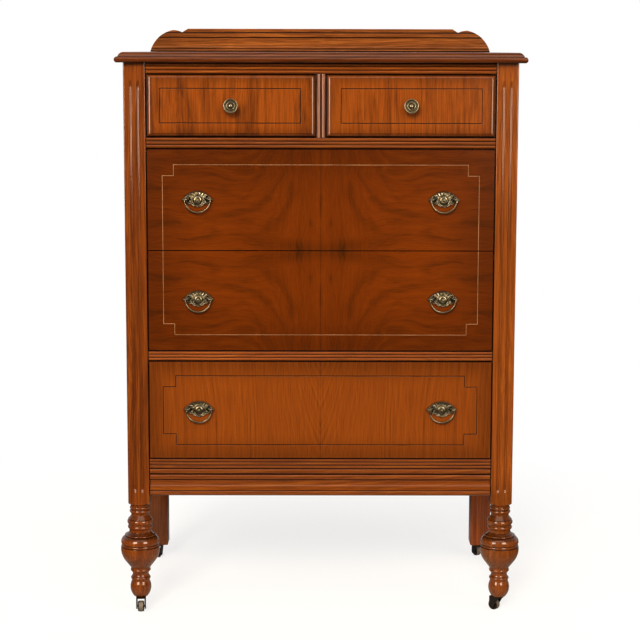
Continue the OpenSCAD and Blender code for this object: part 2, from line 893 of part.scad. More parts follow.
module pull_bolts(grow = 0) {
    for (s = [-1, 1])
        translate([s * bolt_x, -plate_t / 2 * (1 - sign(grow)) - sign(grow), 0]) rotate([-90, 0, 0])
        cylinder(h = front_t + 2 * nut_t, r = bolt_r + grow);
}

// Outline of the back plate: an arched middle, leafy shoulders, scrolled ends and a pointed foot
module plate_outline() {
    circle(14.5);
    translate([0, 14]) circle(9);
    translate([0, -10.5]) circle(4.6);
    for (s = [-1, 1]) {
        translate([s * 9, -6]) circle(6.5);
        translate([s * 12, 9.5]) circle(8.2);
        translate([s * (lug_x - 3.8), 8.4]) circle(7.4);
        translate([s * (lug_x + 4.7), 4.6]) circle(3.9);
        translate([s * (lug_x + 1.2), 9]) circle(4.4);
        translate([s * (lug_x - 6.3), -5.4]) circle(4.4);
        translate([s * (lug_x - 0.7), -2.8]) circle(2.7);
        translate([s * (lug_x - 9.8), -1]) square([14, 9], center = true);
    }
}

// Openings in the back plate round its scrolls
module plate_piercings() {
    for (s = [-1, 1]) {
        translate([s * (lug_x - 7.9), 10.6]) circle(1.7);
        translate([s * 11.4, 14.2]) circle(1.3);
        translate([s * (lug_x - 6.1), -5.4]) circle(1.4);
    }
}

module pull_plate() {
    dome_r = 17;
    dome_rise = 5.5;
    boss_r = 12.5;
    union() {
        translate([0, -plate_gap, 0]) rotate([90, 0, 0]) linear_extrude(plate_t) difference() {
            plate_outline();
            plate_piercings();
        }
        translate([0, -plate_t, 0]) rotate([90, 0, 0]) rotate_extrude() intersection() {
            translate([0, dome_rise - dome_r]) circle(dome_r);
            translate([0, -0.5]) square([boss_r, dome_rise + 1]);
        }
        for (s = [-1, 1]) translate([s * lug_x, 0, 2]) rotate([0, 90, 0]) difference() {
            translate([0, 0, -lug_w / 2]) union() {
                translate([0, -bail_out, 0]) cylinder(h = lug_w, r = lug_r);
                translate([-lug_r, -bail_out, 0]) cube([2 * lug_r, bail_out - plate_gap, lug_w]);
            }
            translate([0, -bail_out, -lug_w]) cylinder(h = 2 * lug_w, r = pivot_r + run_fit);
        }
        pull_bolts();
    }
}

module nut() {
    rotate([-90, 0, 0]) difference() {
        cylinder(h = nut_t, r = nut_r, $fn = 6);
        translate([0, 0, -1]) cylinder(h = nut_t + 2, r = bolt_r + run_fit);
    }
}

module pull_plates(i) {
    color(brass) for (x = [-pull_x, pull_x]) pull_place(i, x) {
        pull_plate();
        for (s = [-1, 1]) translate([s * bolt_x, front_t + plate_gap, 0]) nut();
    }
}

// The bail hangs from pins at both its ends
module bail(i, x) {
    color(brass) pull_place(i, x) translate([0, -bail_out, 2]) {
        rotate([90, 0, 0]) rotate([0, 0, 180]) rotate_extrude(angle = 180, $fn = 96)
            translate([bail_r, 0]) circle(bail_wire, $fn = 32);
        for (s = [-1, 1]) {
            translate([s * bail_r, 0, 0]) sphere(bail_wire, $fn = 32);
            mirror([s < 0 ? 1 : 0, 0, 0]) bar_x(lug_x - lug_w / 2 - 1, bail_r, 0, 0, pivot_r);
        }
    }
}

module knob(i) {
    color(brass) knob_place(i) {
        translate([0, -plate_gap, 0]) rotate([90, 0, 0]) rotate_extrude($fn = 96) knob_outline();
        translate([0, -1, 0]) rotate([-90, 0, 0]) cylinder(h = front_t + 2 + nut_t, r = bolt_r);
        translate([0, front_t + plate_gap, 0]) nut();
    }
}

// Half outline of the knob: a foot ring, a waist and a dished face with a rim, a ring and a boss
module knob_outline() {
    rim = 1.7;
    face = knob_out - 4.5;
    difference() {
        union() {
            square([9, 2.4]);
            square([5.6, face]);
            translate([0, face - 4]) square([knob_r - rim, 4]);
            translate([knob_r - 2.4, face - 1.6]) circle(2.4);
        }
        translate([9 + 3.2, 8.4]) circle(6.6);
    }
    translate([knob_r - rim, face + 0.6]) circle(rim);
    translate([8.4, face]) circle(1.5);
    intersection() {
        square([4.6, knob_out]);
        translate([0, knob_out - 7]) circle(7);
    }
}

// Socket of a caster: a tube in the foot with a flange under it
module caster_sockets() {
    color(iron) for (p = caster_at) translate([p[0], p[1], foot_z - flange_t]) difference() {
        union() {
            cylinder(h = flange_t - fit, r = flange_r);
            cylinder(h = flange_t + stem_l + 1, r = socket_r);
        }
        translate([0, 0, -1]) cylinder(h = stem_l + 5, r = stem_r + run_fit);
    }
}

// Fork of a caster: a horn plate that swivels under the socket, and two arms that narrow down to the axle
module caster_fork(k) {
    side = wheel_w / 2 + wheel_gap;
    foot_r = axle_r + 4.5;
    color(iron) translate([caster_at[k][0], caster_at[k][1], 0]) rotate([0, 0, caster_turn[k]]) {
        translate([0, 0, fork_top - 0.5]) cylinder(h = stem_l - flange_t, r = stem_r);
        translate([0, 0, fork_top - horn_t]) {
            cylinder(h = horn_t, r = horn_r);
            translate([-horn_r / 2, -side - arm_t, 0])
            cube([horn_r / 2 + trail + foot_r, 2 * (side + arm_t), horn_t]);
        }
        for (s = [-1, 1]) translate([0, s * (side + arm_t / 2) + arm_t / 2, 0]) rotate([90, 0, 0])
            linear_extrude(arm_t) {
                translate([trail, wheel_r]) circle(foot_r);
                polygon([[-horn_r / 2, fork_top], [trail + foot_r, fork_top], [trail + foot_r, wheel_r],
                         [trail - foot_r, wheel_r], [-horn_r / 2, fork_top - horn_t]]);
            }
        translate([trail, side + 0.5, wheel_r]) rotate([90, 0, 0]) cylinder(h = 2 * side + 1, r = axle_r);
    }
}

// Wheel of a caster: a flat tread with rounded edges, and a shallow ring sunk in each side
module caster_wheel(k) {
    crown = 2;
    ring_in = 5.2;
    ring_out = 8.8;
    ring_depth = 0.8;
    color(wheel_grey) translate([caster_at[k][0], caster_at[k][1], 0]) rotate([0, 0, caster_turn[k]])
    translate([trail, 0, wheel_r]) rotate([90, 0, 0]) rotate_extrude($fn = 96) difference() {
        translate([0, -wheel_w / 2]) union() {
            translate([0, crown]) square([wheel_r, wheel_w - 2 * crown]);
            square([wheel_r - crown, wheel_w]);
            for (z = [crown, wheel_w - crown]) translate([wheel_r - crown, z]) circle(crown);
        }
        translate([0, -wheel_w]) square([axle_r + run_fit, 2 * wheel_w]);
        for (s = [-1, 1])
            translate([ring_in, s * wheel_w / 2 - ring_depth]) square([ring_out - ring_in, 2 * ring_depth]);
    }
}

placed() top_board();
placed() gallery_board();
placed() frieze_rail();
placed() upper_rail();
placed() middle_rail();
placed() base_rail();
placed() apron_moulding();
placed() center_stile();
placed() center_divider();
placed() front_post_left();
placed() front_post_right();
placed() rear_post_left();
placed() rear_post_right();
placed() side_panel_left();
placed() side_panel_right();
placed() back_panel();
placed() hidden_rails();
placed() runners_and_guides();
placed() dust_panels();
placed() caster_sockets();
placed() drawer_front(3);  // small_left_front
placed() drawer_sides(3);  // small_left_sides
placed() drawer_back(3);  // small_left_back
placed() drawer_bottom(3);  // small_left_bottom
placed() drawer_front(4);  // small_right_front
placed() drawer_sides(4);  // small_right_sides
placed() drawer_back(4);  // small_right_back
placed() drawer_bottom(4);  // small_right_bottom
placed() drawer_front(2);  // top_drawer_front
placed() drawer_sides(2);  // top_drawer_sides
placed() drawer_back(2);  // top_drawer_back
placed() drawer_bottom(2);  // top_drawer_bottom
placed() drawer_front(1);  // mid_drawer_front
placed() drawer_sides(1);  // mid_drawer_sides
placed() drawer_back(1);  // mid_drawer_back
placed() drawer_bottom(1);  // mid_drawer_bottom
placed() drawer_front(0);  // low_drawer_front
placed() drawer_sides(0);  // low_drawer_sides
placed() drawer_back(0);  // low_drawer_back
placed() drawer_bottom(0);  // low_drawer_bottom
placed() knob(3);  // knob_left
placed() knob(4);  // knob_right
placed() pull_plates(2);  // top_pull_plates
placed() pull_plates(1);  // mid_pull_plates
placed() pull_plates(0);  // low_pull_plates
placed() bail(2, -pull_x);  // top_bail_left
placed() bail(2, pull_x);  // top_bail_right
placed() bail(1, -pull_x);  // mid_bail_left
placed() bail(1, pull_x);  // mid_bail_right
placed() bail(0, -pull_x);  // low_bail_left
placed() bail(0, pull_x);  // low_bail_right
placed() caster_fork(0);  // caster_fork_fl
placed() caster_fork(1);  // caster_fork_fr
placed() caster_fork(2);  // caster_fork_rl
placed() caster_fork(3);  // caster_fork_rr
placed() caster_wheel(0);  // caster_wheel_fl
placed() caster_wheel(1);  // caster_wheel_fr
placed() caster_wheel(2);  // caster_wheel_rl
placed() caster_wheel(3);  // caster_wheel_rr
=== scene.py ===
import json
import math
from functools import partial
import bpy
import numpy as np
from mathutils import Euler, Matrix, Vector
from mathutils.geometry import delaunay_2d_cdt


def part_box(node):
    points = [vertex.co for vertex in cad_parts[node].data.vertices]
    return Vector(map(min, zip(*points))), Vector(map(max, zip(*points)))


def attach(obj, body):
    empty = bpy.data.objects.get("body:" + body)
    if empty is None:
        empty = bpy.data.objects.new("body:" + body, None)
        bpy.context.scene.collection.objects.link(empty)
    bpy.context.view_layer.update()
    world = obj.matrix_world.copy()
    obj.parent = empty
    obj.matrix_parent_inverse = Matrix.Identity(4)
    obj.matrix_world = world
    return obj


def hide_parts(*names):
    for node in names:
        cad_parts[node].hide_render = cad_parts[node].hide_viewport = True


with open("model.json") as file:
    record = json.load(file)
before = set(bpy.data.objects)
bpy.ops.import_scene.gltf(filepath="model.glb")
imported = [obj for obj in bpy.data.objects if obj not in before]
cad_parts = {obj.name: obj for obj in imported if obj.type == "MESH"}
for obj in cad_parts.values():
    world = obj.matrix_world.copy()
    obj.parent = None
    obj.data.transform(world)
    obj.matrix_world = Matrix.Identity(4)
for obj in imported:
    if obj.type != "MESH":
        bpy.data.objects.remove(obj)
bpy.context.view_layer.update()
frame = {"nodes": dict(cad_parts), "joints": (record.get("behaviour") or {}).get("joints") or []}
nodes = frame["nodes"]
print("stage: frame loaded,", len(nodes), "CAD nodes")

mm = 0.001
eased = {"interpolation_type": "SMOOTHSTEP"}    # a Map Range that starts and ends softly
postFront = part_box("low_drawer_front")[0].y    # plane of the large drawers' and the posts' faces
drawerSplit = (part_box("mid_drawer_front")[1].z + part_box("top_drawer_front")[0].z) / 2
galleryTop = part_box("gallery_board")[1].z
drawerNames = ("low_drawer", "mid_drawer", "top_drawer", "small_left", "small_right")
largeRows = ("low", "mid", "top")
corners = ("fl", "fr", "rl", "rr")

# Where the photograph was taken from, in metres and degrees
cameraView = {
    "focalPx": 1869.4,    # focal length in pixels of the frame
    "framePx": 640,
    "sensorMm": 36,
    "farthest": 100,
    "distance": 4.1747,   # from the posts' faces
    "height": 1.2909,
    "side": -0.0204,
    "tiltDeg": 8.277,
    "panDeg": -0.263,
    "rollDeg": 0.130,
}

studio = {
    # what draws the highlights: azimuth, elevation, distance, size and watts. The long strip over the front
    # edge draws the bright lines along the mouldings
    "softboxes": {
        "softboxLeft": (-36, 18, 3.2, (1.3, 1.9), 134),
        "softboxRight": (31, 18, 3.2, (1.3, 1.9), 116),
        "stripAbove": (0, 63, 2.6, (3.0, 1.2), 30),
    },
    "softboxColour": (1.0, 0.9, 0.76),
    "aimHeight": 0.7,    # they face the drawer fronts at this height
    # what lights the surfaces, by azimuth, elevation, angle and strength: a smaller lamp from the front, a
    # little to the left, for the shadows, and a broad one on each side
    "lamps": {
        "shadowLamp": (-10, 28, 20, 4.0),
        "fillLeft": (-42, 20, 60, 2.8),
        "fillRight": (42, 20, 60, 2.8),
    },
    "lampColour": (1.0, 0.92, 0.8),
    # glow of the room: dim in front of the chest, so the varnish stays deep, brighter overhead and behind
    "skyAbove": (0.0, 0.8, 0.06, 0.25),
    "skyBehind": (-0.1, 0.7, 0.06, 0.9),
    "contrast": 0.86,
}

paperFloor = {
    "radius": 3.6,
    "sides": 96,
    "nearHex": "#e6e5e3",             # the paper as the camera sees it
    "farHex": "#3c3b3a",              # the dim studio floor that the varnish mirrors, away from the chest
    "dusk": (0.3, 1.0, 0.35, 1.0),    # share of the far colour, by distance from the chest
    "lift": (0.5, 1.7, 0.72, 1.0),    # share of plain white in the floor as the camera sees it
    "toothScale": 900.0,              # about one bump in 1.1 mm
    "toothHigh": 0.3 * mm,
}


def linear(hexText):
    # sRGB hex to the linear values that the shaders take
    parts = [int(hexText[i:i + 2], 16) / 255 for i in (1, 3, 5)]
    return tuple(c / 12.92 if c <= 0.04045 else ((c + 0.055) / 1.055) ** 2.4 for c in parts) + (1.0,)


def addNode(tree, kind, settings=None, links=None):
    # adds one shader node: settings are its own properties or socket values, links are its incoming sockets; a
    # node given as the source of a link stands for its first output
    node = tree.nodes.new("ShaderNode" + kind)
    for name, value in (settings or {}).items():
        if isinstance(name, str) and hasattr(node, name):
            setattr(node, name, value)
        else:
            node.inputs[name].default_value = value
    for name, source in (links or {}).items():
        tree.links.new(source.outputs[0] if hasattr(source, "outputs") else source, node.inputs[name])
    return node


def spread(values):
    # values for a node's sockets 1, 2 and so on; a Map Range takes from, to, and what it gives at each
    return dict(enumerate(values, 1))


def tint(ramp, hexes, low=0.0, high=1.0):
    # three colours along a colour ramp, the second one in the middle
    stops = ramp.color_ramp.elements
    stops[0].position, stops[1].position = low, high
    stops[0].color, stops[1].color = linear(hexes[0]), linear(hexes[2])
    stops.new(0.5).color = linear(hexes[1])


def newMaterial(name):
    # an empty material, and addNode for its own tree
    material = bpy.data.materials.new(name)
    material.use_nodes = True
    material.node_tree.nodes.clear()
    return material, partial(addNode, material.node_tree)


def placeCamera():
    data = bpy.data.cameras.new("camera")
    data.sensor_width = cameraView["sensorMm"]
    data.lens = cameraView["focalPx"] / cameraView["framePx"] * cameraView["sensorMm"]
    data.clip_end = cameraView["farthest"]
    camera = bpy.data.objects.new("camera", data)
    camera.location = (cameraView["side"], postFront - cameraView["distance"], cameraView["height"])
    turn = Euler((math.radians(90 - cameraView["tiltDeg"]), 0, math.radians(cameraView["panDeg"]))).to_matrix()
    roll = Matrix.Rotation(math.radians(cameraView["rollDeg"]), 3, "Z")
    camera.rotation_euler = (turn @ roll).to_euler()
    bpy.context.scene.collection.objects.link(camera)
    bpy.context.scene.camera = camera


def lightStudio():
    target = Vector((0, postFront, studio["aimHeight"]))
    for name, (azimuth, elevation, distance, size, watts) in studio["softboxes"].items():
        light = bpy.data.lights.new(name, "AREA")
        light.shape = "RECTANGLE"
        light.size, light.size_y = size
        light.energy = watts
        light.color = studio["softboxColour"]
        a, e = math.radians(azimuth), math.radians(elevation)
        away = Vector((math.sin(a) * math.cos(e), -math.cos(a) * math.cos(e), math.sin(e)))
        lamp = bpy.data.objects.new(name, light)
        lamp.location = target + away * distance
        lamp.visible_diffuse = False    # it only draws the highlights
        lamp.rotation_euler = away.to_track_quat("Z", "Y").to_euler()
        bpy.context.scene.collection.objects.link(lamp)
    for name, (azimuth, elevation, angle, strength) in studio["lamps"].items():
        light = bpy.data.lights.new(name, "SUN")
        light.energy = strength
        light.angle = math.radians(angle)
        light.color = studio["lampColour"]
        lamp = bpy.data.objects.new(name, light)
        lamp.rotation_euler = (math.radians(90 - elevation), 0, math.radians(azimuth))
        lamp.visible_glossy = False    # no veil over the varnish
        bpy.context.scene.collection.objects.link(lamp)


def hangSky():
    # dim in front of the chest, brighter above and behind it, and plain white where the camera sees it
    world = bpy.data.worlds.new("studio")
    world.use_nodes = True
    world.node_tree.nodes.clear()
    add = partial(addNode, world.node_tree)
    way = add("TexCoord").outputs["Generated"]
    way = add("SeparateXYZ", {}, {0: way}).outputs
    above = add("MapRange", {**eased, **spread(studio["skyAbove"])}, {0: way["Z"]})
    behind = add("MapRange", {**eased, **spread(studio["skyBehind"])}, {0: way["Y"]})
    glow = add("Math", {"operation": "MAXIMUM"}, {0: above, 1: behind})
    sky = add("Background", {"Color": (1, 1, 1, 1)}, {"Strength": glow})
    paper = add("Background", {"Color": (1, 1, 1, 1), "Strength": 1.0})
    seen = add("LightPath").outputs["Is Camera Ray"]
    both = add("MixShader", {}, {0: seen, 1: sky, 2: paper})
    add("OutputWorld", {}, {0: both})
    bpy.context.scene.world = world
    bpy.context.scene.view_settings.view_transform = "Standard"
    bpy.context.scene.view_settings.gamma = studio["contrast"]


def layFloor():
    material, add = newMaterial("seamlessPaper")
    # matt white paper: a trace of tooth in it and no gloss, burnt out to white away from the chest
    place = add("TexCoord").outputs["Object"]
    tooth = add("TexNoise", {"Scale": paperFloor["toothScale"], "Detail": 2.0}, {"Vector": place})
    bump = add("Bump", {"Strength": 0.05, "Distance": paperFloor["toothHigh"]}, {"Height": tooth})
    seen = add("LightPath").outputs["Is Camera Ray"]
    away = add("VectorMath", {"operation": "LENGTH"}, {0: place}).outputs["Value"]
    dusk = add("MapRange", {**eased, **spread(paperFloor["dusk"])}, {0: away})
    nearColour, farColour = linear(paperFloor["nearHex"]), linear(paperFloor["farHex"])
    dim = add("Mix", {"data_type": "RGBA", 6: nearColour, 7: farColour}, {0: dusk}).outputs[2]
    paper = add("Mix", {"data_type": "RGBA", 7: nearColour}, {0: seen, 6: dim}).outputs[2]
    skin = add("BsdfPrincipled", {"Roughness": 0.9, "Specular IOR Level": 0.1},
               {"Base Color": paper, "Normal": bump})
    lift = add("Emission", {"Color": (1, 1, 1, 1), "Strength": 1.0})
    share = add("MapRange", {**eased, **spread(paperFloor["lift"])}, {0: away})
    share = add("Math", {"operation": "MULTIPLY"}, {0: seen, 1: share})
    both = add("MixShader", {}, {0: share, 1: skin, 2: lift})
    add("OutputMaterial", {}, {0: both})
    radius, sides = paperFloor["radius"], paperFloor["sides"]
    turns = [math.tau * k / sides for k in range(sides)]
    circle = [(radius * math.cos(a), radius * math.sin(a), 0) for a in turns]
    mesh = bpy.data.meshes.new("floor")
    mesh.from_pydata(circle, [], [tuple(range(sides))])
    mesh.materials.append(material)
    floor = bpy.data.objects.new("floor", mesh)
    bpy.context.scene.collection.objects.link(floor)


placeCamera()
lightStudio()
hangSky()
layFloor()
print("stage: camera, softboxes and floor")

# Solid gumwood, stained red brown and varnished: a quiet grain, soft streaks of stain, a satin shine
gumLook = {
    "hexes": ("#361a05", "#63310e", "#814b16"),
    "along": "x",            # the axis that the grain runs along
    "heart": (0.31, -0.16),  # how far beside the board the heart of the log lies, in metres
    "tilt": 0.05,            # how much the board leans against the log, in radians
    "ringMm": 8,
    "streakMm": (110, 2.6),
    "poreMm": (9, 0.45),
    "figure": 0.26,          # how strongly the growth rings colour the wood
    "fibre": 0.6,            # and how strongly its fibres do
    "tone": (0.82, 1.12),
    "roughness": 0.42,
    "coat": 0.9,
    "coatRoughness": 0.13,
}
uprightLook = dict(gumLook, along="z", heart=(0.11, 0.05))
levelLook = dict(gumLook, heart=(0.13, 0.3), fibre=0.42)
# Walnut veneer on the small drawers: lighter and more orange, upright, with broad leaning streaks
smallLook = dict(gumLook, hexes=("#502608", "#753c0e", "#874a17"), along="z", ringMm=9, streakMm=(70, 1.9),
                 figure=0.25, fibre=0.7, tone=(0.92, 1.06), coatRoughness=0.17)
smallLooks = {
    "left": dict(smallLook, heart=(0.9, 0.3), tilt=0.28, plume=(0.46, 0.66, 0.0, 0.34)),
    "right": dict(smallLook, heart=(0.35, 0.3), tilt=-0.1, plume=(0.46, 0.66, 0.0, 0.2)),
}
# Walnut butt veneer in four mirrored leaves on the two large upper drawers: wavy bands, crossfire in the middle
buttLook = dict(
    gumLook, hexes=("#381a00", "#5c2800", "#6e3602"), ringMm=15, streakMm=(50, 2.0), figure=0.2, fibre=0.45,
    tone=(0.9, 1.1), coatRoughness=0.17,
    field=(0.05, 0.2),                # from the middle column to the side fields
    eyeAt=(0.16, 0.19, 0),            # a long eye far out in each leaf
    eyeSize=(0.075, 0.018, 1),
    eyeLift=(0.0, 1.6, 0.03, 0.0),
    arc=(0.0, 0.19, 0.018, 0.045),    # how the dark lens rises away from the middle
    lens=(0.0, 0.03, 0.2, 0.0),
    lensEnd=(0.13, 0.22, 1.0, 0.0),
    seam=(0.3 * mm, 1.2 * mm, 0.38, 0.0),
    cloud=(0.48, 0.75, 0.0, 0.3),
)
# Walnut veneer of the bottom drawer: upright grain in two mirrored leaves that meet in pointed arches
archLook = dict(
    gumLook, hexes=("#4a2406", "#6d370c", "#7a4312"), ringMm=9, streakMm=(80, 1.9), figure=0.28,
    tone=(0.92, 1.08), coatRoughness=0.17,
    lean=(0.03, 0.2, 0.55, 0.05),     # how far the grain leans to the joint, by distance from it
    seam=(0.3 * mm, 1.2 * mm, 0.3, 0.0),
)
# Bare poplar and plywood inside: pale, dry, a little uneven from age
poplarLook = dict(gumLook, hexes=("#8b6439", "#b08a58", "#c6a472"), ringMm=14, streakMm=(120, 2.4),
                  tone=(0.9, 1.06), roughness=0.68, coat=0.0, coatRoughness=0.3)

wear = {
    "patchScale": 3.2,           # the tone drifts over about 30 cm
    "edgeRadius": 1.3 * mm,      # how far the rubbed edge and its painted highlight reach
    "edgeSoft": 0.5 * mm,        # rounding of the arrises under the varnish
    "edge": (0.995, 0.8, 1.0, 1.6),    # rubbed wood and a painted highlight: paler where the rounded normal turns from the face, by the cosine
    "dirtAndShadeReach": 5 * mm,         # how far wax, dirt and painted shade reach out of a corner
    # wax, dirt and painted shade: darker where the occlusion finds a corner
    "dirtAndShade": (0.5, 0.94, 0.12, 1.0),
    "glazeDark": 0.66,           # the shaded stain along the borders of the drawer fronts
    # painted shade in the grooves of the gallery
    "grooveShadeDark": 0.2,
    "line": (-2.2 * mm, -0.6 * mm, 1.0, 0.18),    # painted shade: a black line at the very edge of a front, beside the gap
    "shoulder": (0.25, 0.85, 1.0, 0.42),    # darker on surfaces that look upwards
    "pore": (0.3, 0.42, 0.72, 1.0),
    "rippleHigh": 0.3 * mm,
}
# painted shade lines along the two grooves of the gallery
galleryGrooveShade = [(galleryTop - drop * mm, 2.2 * mm) for drop in (9.4, 21)]    # heights and half widths


def fibresAlong(add, vector, scales):
    # noise stretched to one length in millimetres on each axis, where 0 leaves an axis out
    strands = add("VectorMath", {"operation": "MULTIPLY", 1: tuple(1000 / s if s else 0 for s in scales)},
                  {0: vector})
    return add("TexNoise", {"Scale": 1.0, "Detail": 3.0, "Roughness": 0.6}, {"Vector": strands})


# Each grain gives its growth rings as a distance, its fibres, its pores, and what else darkens it

def logGrain(add, place, look):
    # growth rings of a log whose heart lies beside the board, cut along one axis, and its fine fibres
    order = {"x": "XYZ", "y": "YXZ", "z": "ZXY"}[look["along"]]
    axes = add("SeparateXYZ", {}, {0: place}).outputs
    board = add("CombineXYZ", {}, {i: axes[letter] for i, letter in enumerate(order)})
    own = add("ObjectInfo").outputs["Random"]
    shift = add("VectorMath", {"operation": "MULTIPLY_ADD", 1: (3.1, 0.21, 0.13)}, {0: own, 2: board})
    slow = add("VectorMath", {"operation": "MULTIPLY", 1: (0.3, 1, 1)}, {0: shift})
    wander = add("TexNoise", {"Scale": 5.0, "Detail": 2.0}, {"Vector": slow}).outputs["Color"]
    bent = add("VectorMath", {"operation": "MULTIPLY_ADD", 1: (0, 0.05, 0.05)}, {0: wander, 2: shift})
    log = add("Mapping", {"Location": (0, *look["heart"]), "Rotation": (0, look["tilt"], look["tilt"] * 0.7)},
              {"Vector": bent})
    across = add("VectorMath", {"operation": "MULTIPLY", 1: (0, 1, 1)}, {0: log})
    rings = add("VectorMath", {"operation": "LENGTH"}, {0: across}).outputs["Value"]
    long, wide = look["streakMm"]
    poreLong, poreWide = look["poreMm"]
    return (rings, fibresAlong(add, bent, (long, wide, wide)),
            fibresAlong(add, bent, (poreLong, poreWide, poreWide)), None)


def plumeGrain(add, place, look):
    # straight upright grain with broad darker plumes that lean and widen upwards
    rings, fibres, pores, _ = logGrain(add, place, dict(look, tilt=0.03))
    wander = add("TexNoise", {"Scale": 14.0, "Detail": 2.0}, {"Vector": place}).outputs["Color"]
    bent = add("VectorMath", {"operation": "MULTIPLY_ADD", 1: (0.02, 0, 0.02)}, {0: wander, 2: place})
    lean = add("Mapping", {"Location": (look["heart"][0], 0, 0), "Rotation": (0, look["tilt"], 0),
                           "Scale": (24, 1, 6)}, {"Vector": bent})
    plume = add("TexNoise", {"Scale": 1.0, "Detail": 6.0, "Roughness": 0.6, "Distortion": 0.5},
                {"Vector": lean})
    plume = add("MapRange", {**eased, **spread(look["plume"])}, {0: plume})
    return rings, fibres, pores, plume


def buttGrain(add, place, look):
    # four mirrored leaves: level bands at the sides, upright crossfire towards the middle, long eyes far out
    axes = add("SeparateXYZ", {}, {0: place}).outputs
    out = add("Math", {"operation": "ABSOLUTE"}, {0: axes["X"]})
    rise = add("Math", {"operation": "SUBTRACT", 1: drawerSplit}, {0: axes["Z"]})
    rise = add("Math", {"operation": "ABSOLUTE"}, {0: rise})
    leaf = add("CombineXYZ", {}, {0: out, 1: rise})
    wander = add("TexNoise", {"Scale": 9.0, "Detail": 2.5}, {"Vector": leaf}).outputs["Color"]
    bent = add("VectorMath", {"operation": "MULTIPLY_ADD", 1: (0.04, 0.035, 0)}, {0: wander, 2: leaf})
    bentAxes = add("SeparateXYZ", {}, {0: bent}).outputs
    # 0 in the middle column, 1 in the side fields
    side = add("MapRange", {**eased, **spread(look["field"])}, {0: bentAxes["X"]})
    upright = add("Math", {"operation": "MULTIPLY", 1: 0.8}, {0: bentAxes["X"]})
    bands = add("Mix", {}, {0: side, 2: upright, 3: bentAxes["Y"]})
    eye = add("Mapping", {"vector_type": "TEXTURE", "Location": look["eyeAt"], "Scale": look["eyeSize"]},
              {"Vector": bent})
    eyeFar = add("VectorMath", {"operation": "LENGTH"}, {0: eye}).outputs["Value"]
    eyeLift = add("MapRange", {**eased, **spread(look["eyeLift"])}, {0: eyeFar})
    rings = add("Math", {"operation": "ADD"}, {0: bands, 1: eyeLift})
    long, wide = look["streakMm"]
    cross = fibresAlong(add, bent, (wide, long, 0))
    level = fibresAlong(add, bent, (long, wide, 0))
    fibres = add("Mix", {}, {0: side, 2: cross, 3: level})
    # a dark lens lies along the joint of the two drawers, and a hairline joint runs up the middle
    arc = add("MapRange", {**eased, **spread(look["arc"])}, {0: out})
    offArc = add("Math", {"operation": "SUBTRACT"}, {0: bentAxes["Y"], 1: arc})
    offArc = add("Math", {"operation": "ABSOLUTE"}, {0: offArc})
    lens = add("MapRange", {**eased, **spread(look["lens"])}, {0: offArc})
    near = add("MapRange", {**eased, **spread(look["lensEnd"])}, {0: out})
    lens = add("Math", {"operation": "MULTIPLY"}, {0: lens, 1: near})
    seam = add("MapRange", spread(look["seam"]), {0: out})
    dark = add("Math", {"operation": "MAXIMUM"}, {0: lens, 1: seam})
    # soft clouds of darker wood drift through the leaves
    drift = add("Mix", {"data_type": "VECTOR", 4: (26, 9, 0), 5: (8, 30, 0)}, {0: side}).outputs[1]
    drift = add("VectorMath", {"operation": "MULTIPLY"}, {0: bent, 1: drift})
    cloud = add("TexNoise", {"Scale": 1.0, "Detail": 3.0, "Distortion": 0.6}, {"Vector": drift})
    cloud = add("MapRange", {**eased, **spread(look["cloud"])}, {0: cloud})
    dark = add("Math", {"operation": "ADD"}, {0: dark, 1: cloud})
    poreLong, poreWide = look["poreMm"]
    return rings, fibres, fibresAlong(add, bent, (poreLong, poreWide, 0)), dark


def archGrain(add, place, look):
    # upright grain, mirrored in the middle, that closes to pointed arches below
    axes = add("SeparateXYZ", {}, {0: place}).outputs
    out = add("Math", {"operation": "ABSOLUTE"}, {0: axes["X"]})
    leaf = add("CombineXYZ", {}, {0: out, 1: axes["Z"], 2: axes["Y"]})
    slow = add("VectorMath", {"operation": "MULTIPLY", 1: (1, 0.35, 1)}, {0: leaf})
    wander = add("TexNoise", {"Scale": 9.0, "Detail": 2.0}, {"Vector": slow}).outputs["Color"]
    bent = add("VectorMath", {"operation": "MULTIPLY_ADD", 1: (0.035, 0.02, 0)}, {0: wander, 2: leaf})
    bentAxes = add("SeparateXYZ", {}, {0: bent}).outputs
    lean = add("MapRange", {**eased, **spread(look["lean"])}, {0: bentAxes["X"]})
    sink = add("Math", {"operation": "MULTIPLY"}, {0: lean, 1: bentAxes["Y"]})
    rings = add("Math", {"operation": "SUBTRACT"}, {0: bentAxes["X"], 1: sink})
    seam = add("MapRange", spread(look["seam"]), {0: out})
    long, wide = look["streakMm"]
    poreLong, poreWide = look["poreMm"]
    return rings, fibresAlong(add, bent, (wide, long, 0)), fibresAlong(add, bent, (poreWide, poreLong, 0)), seam


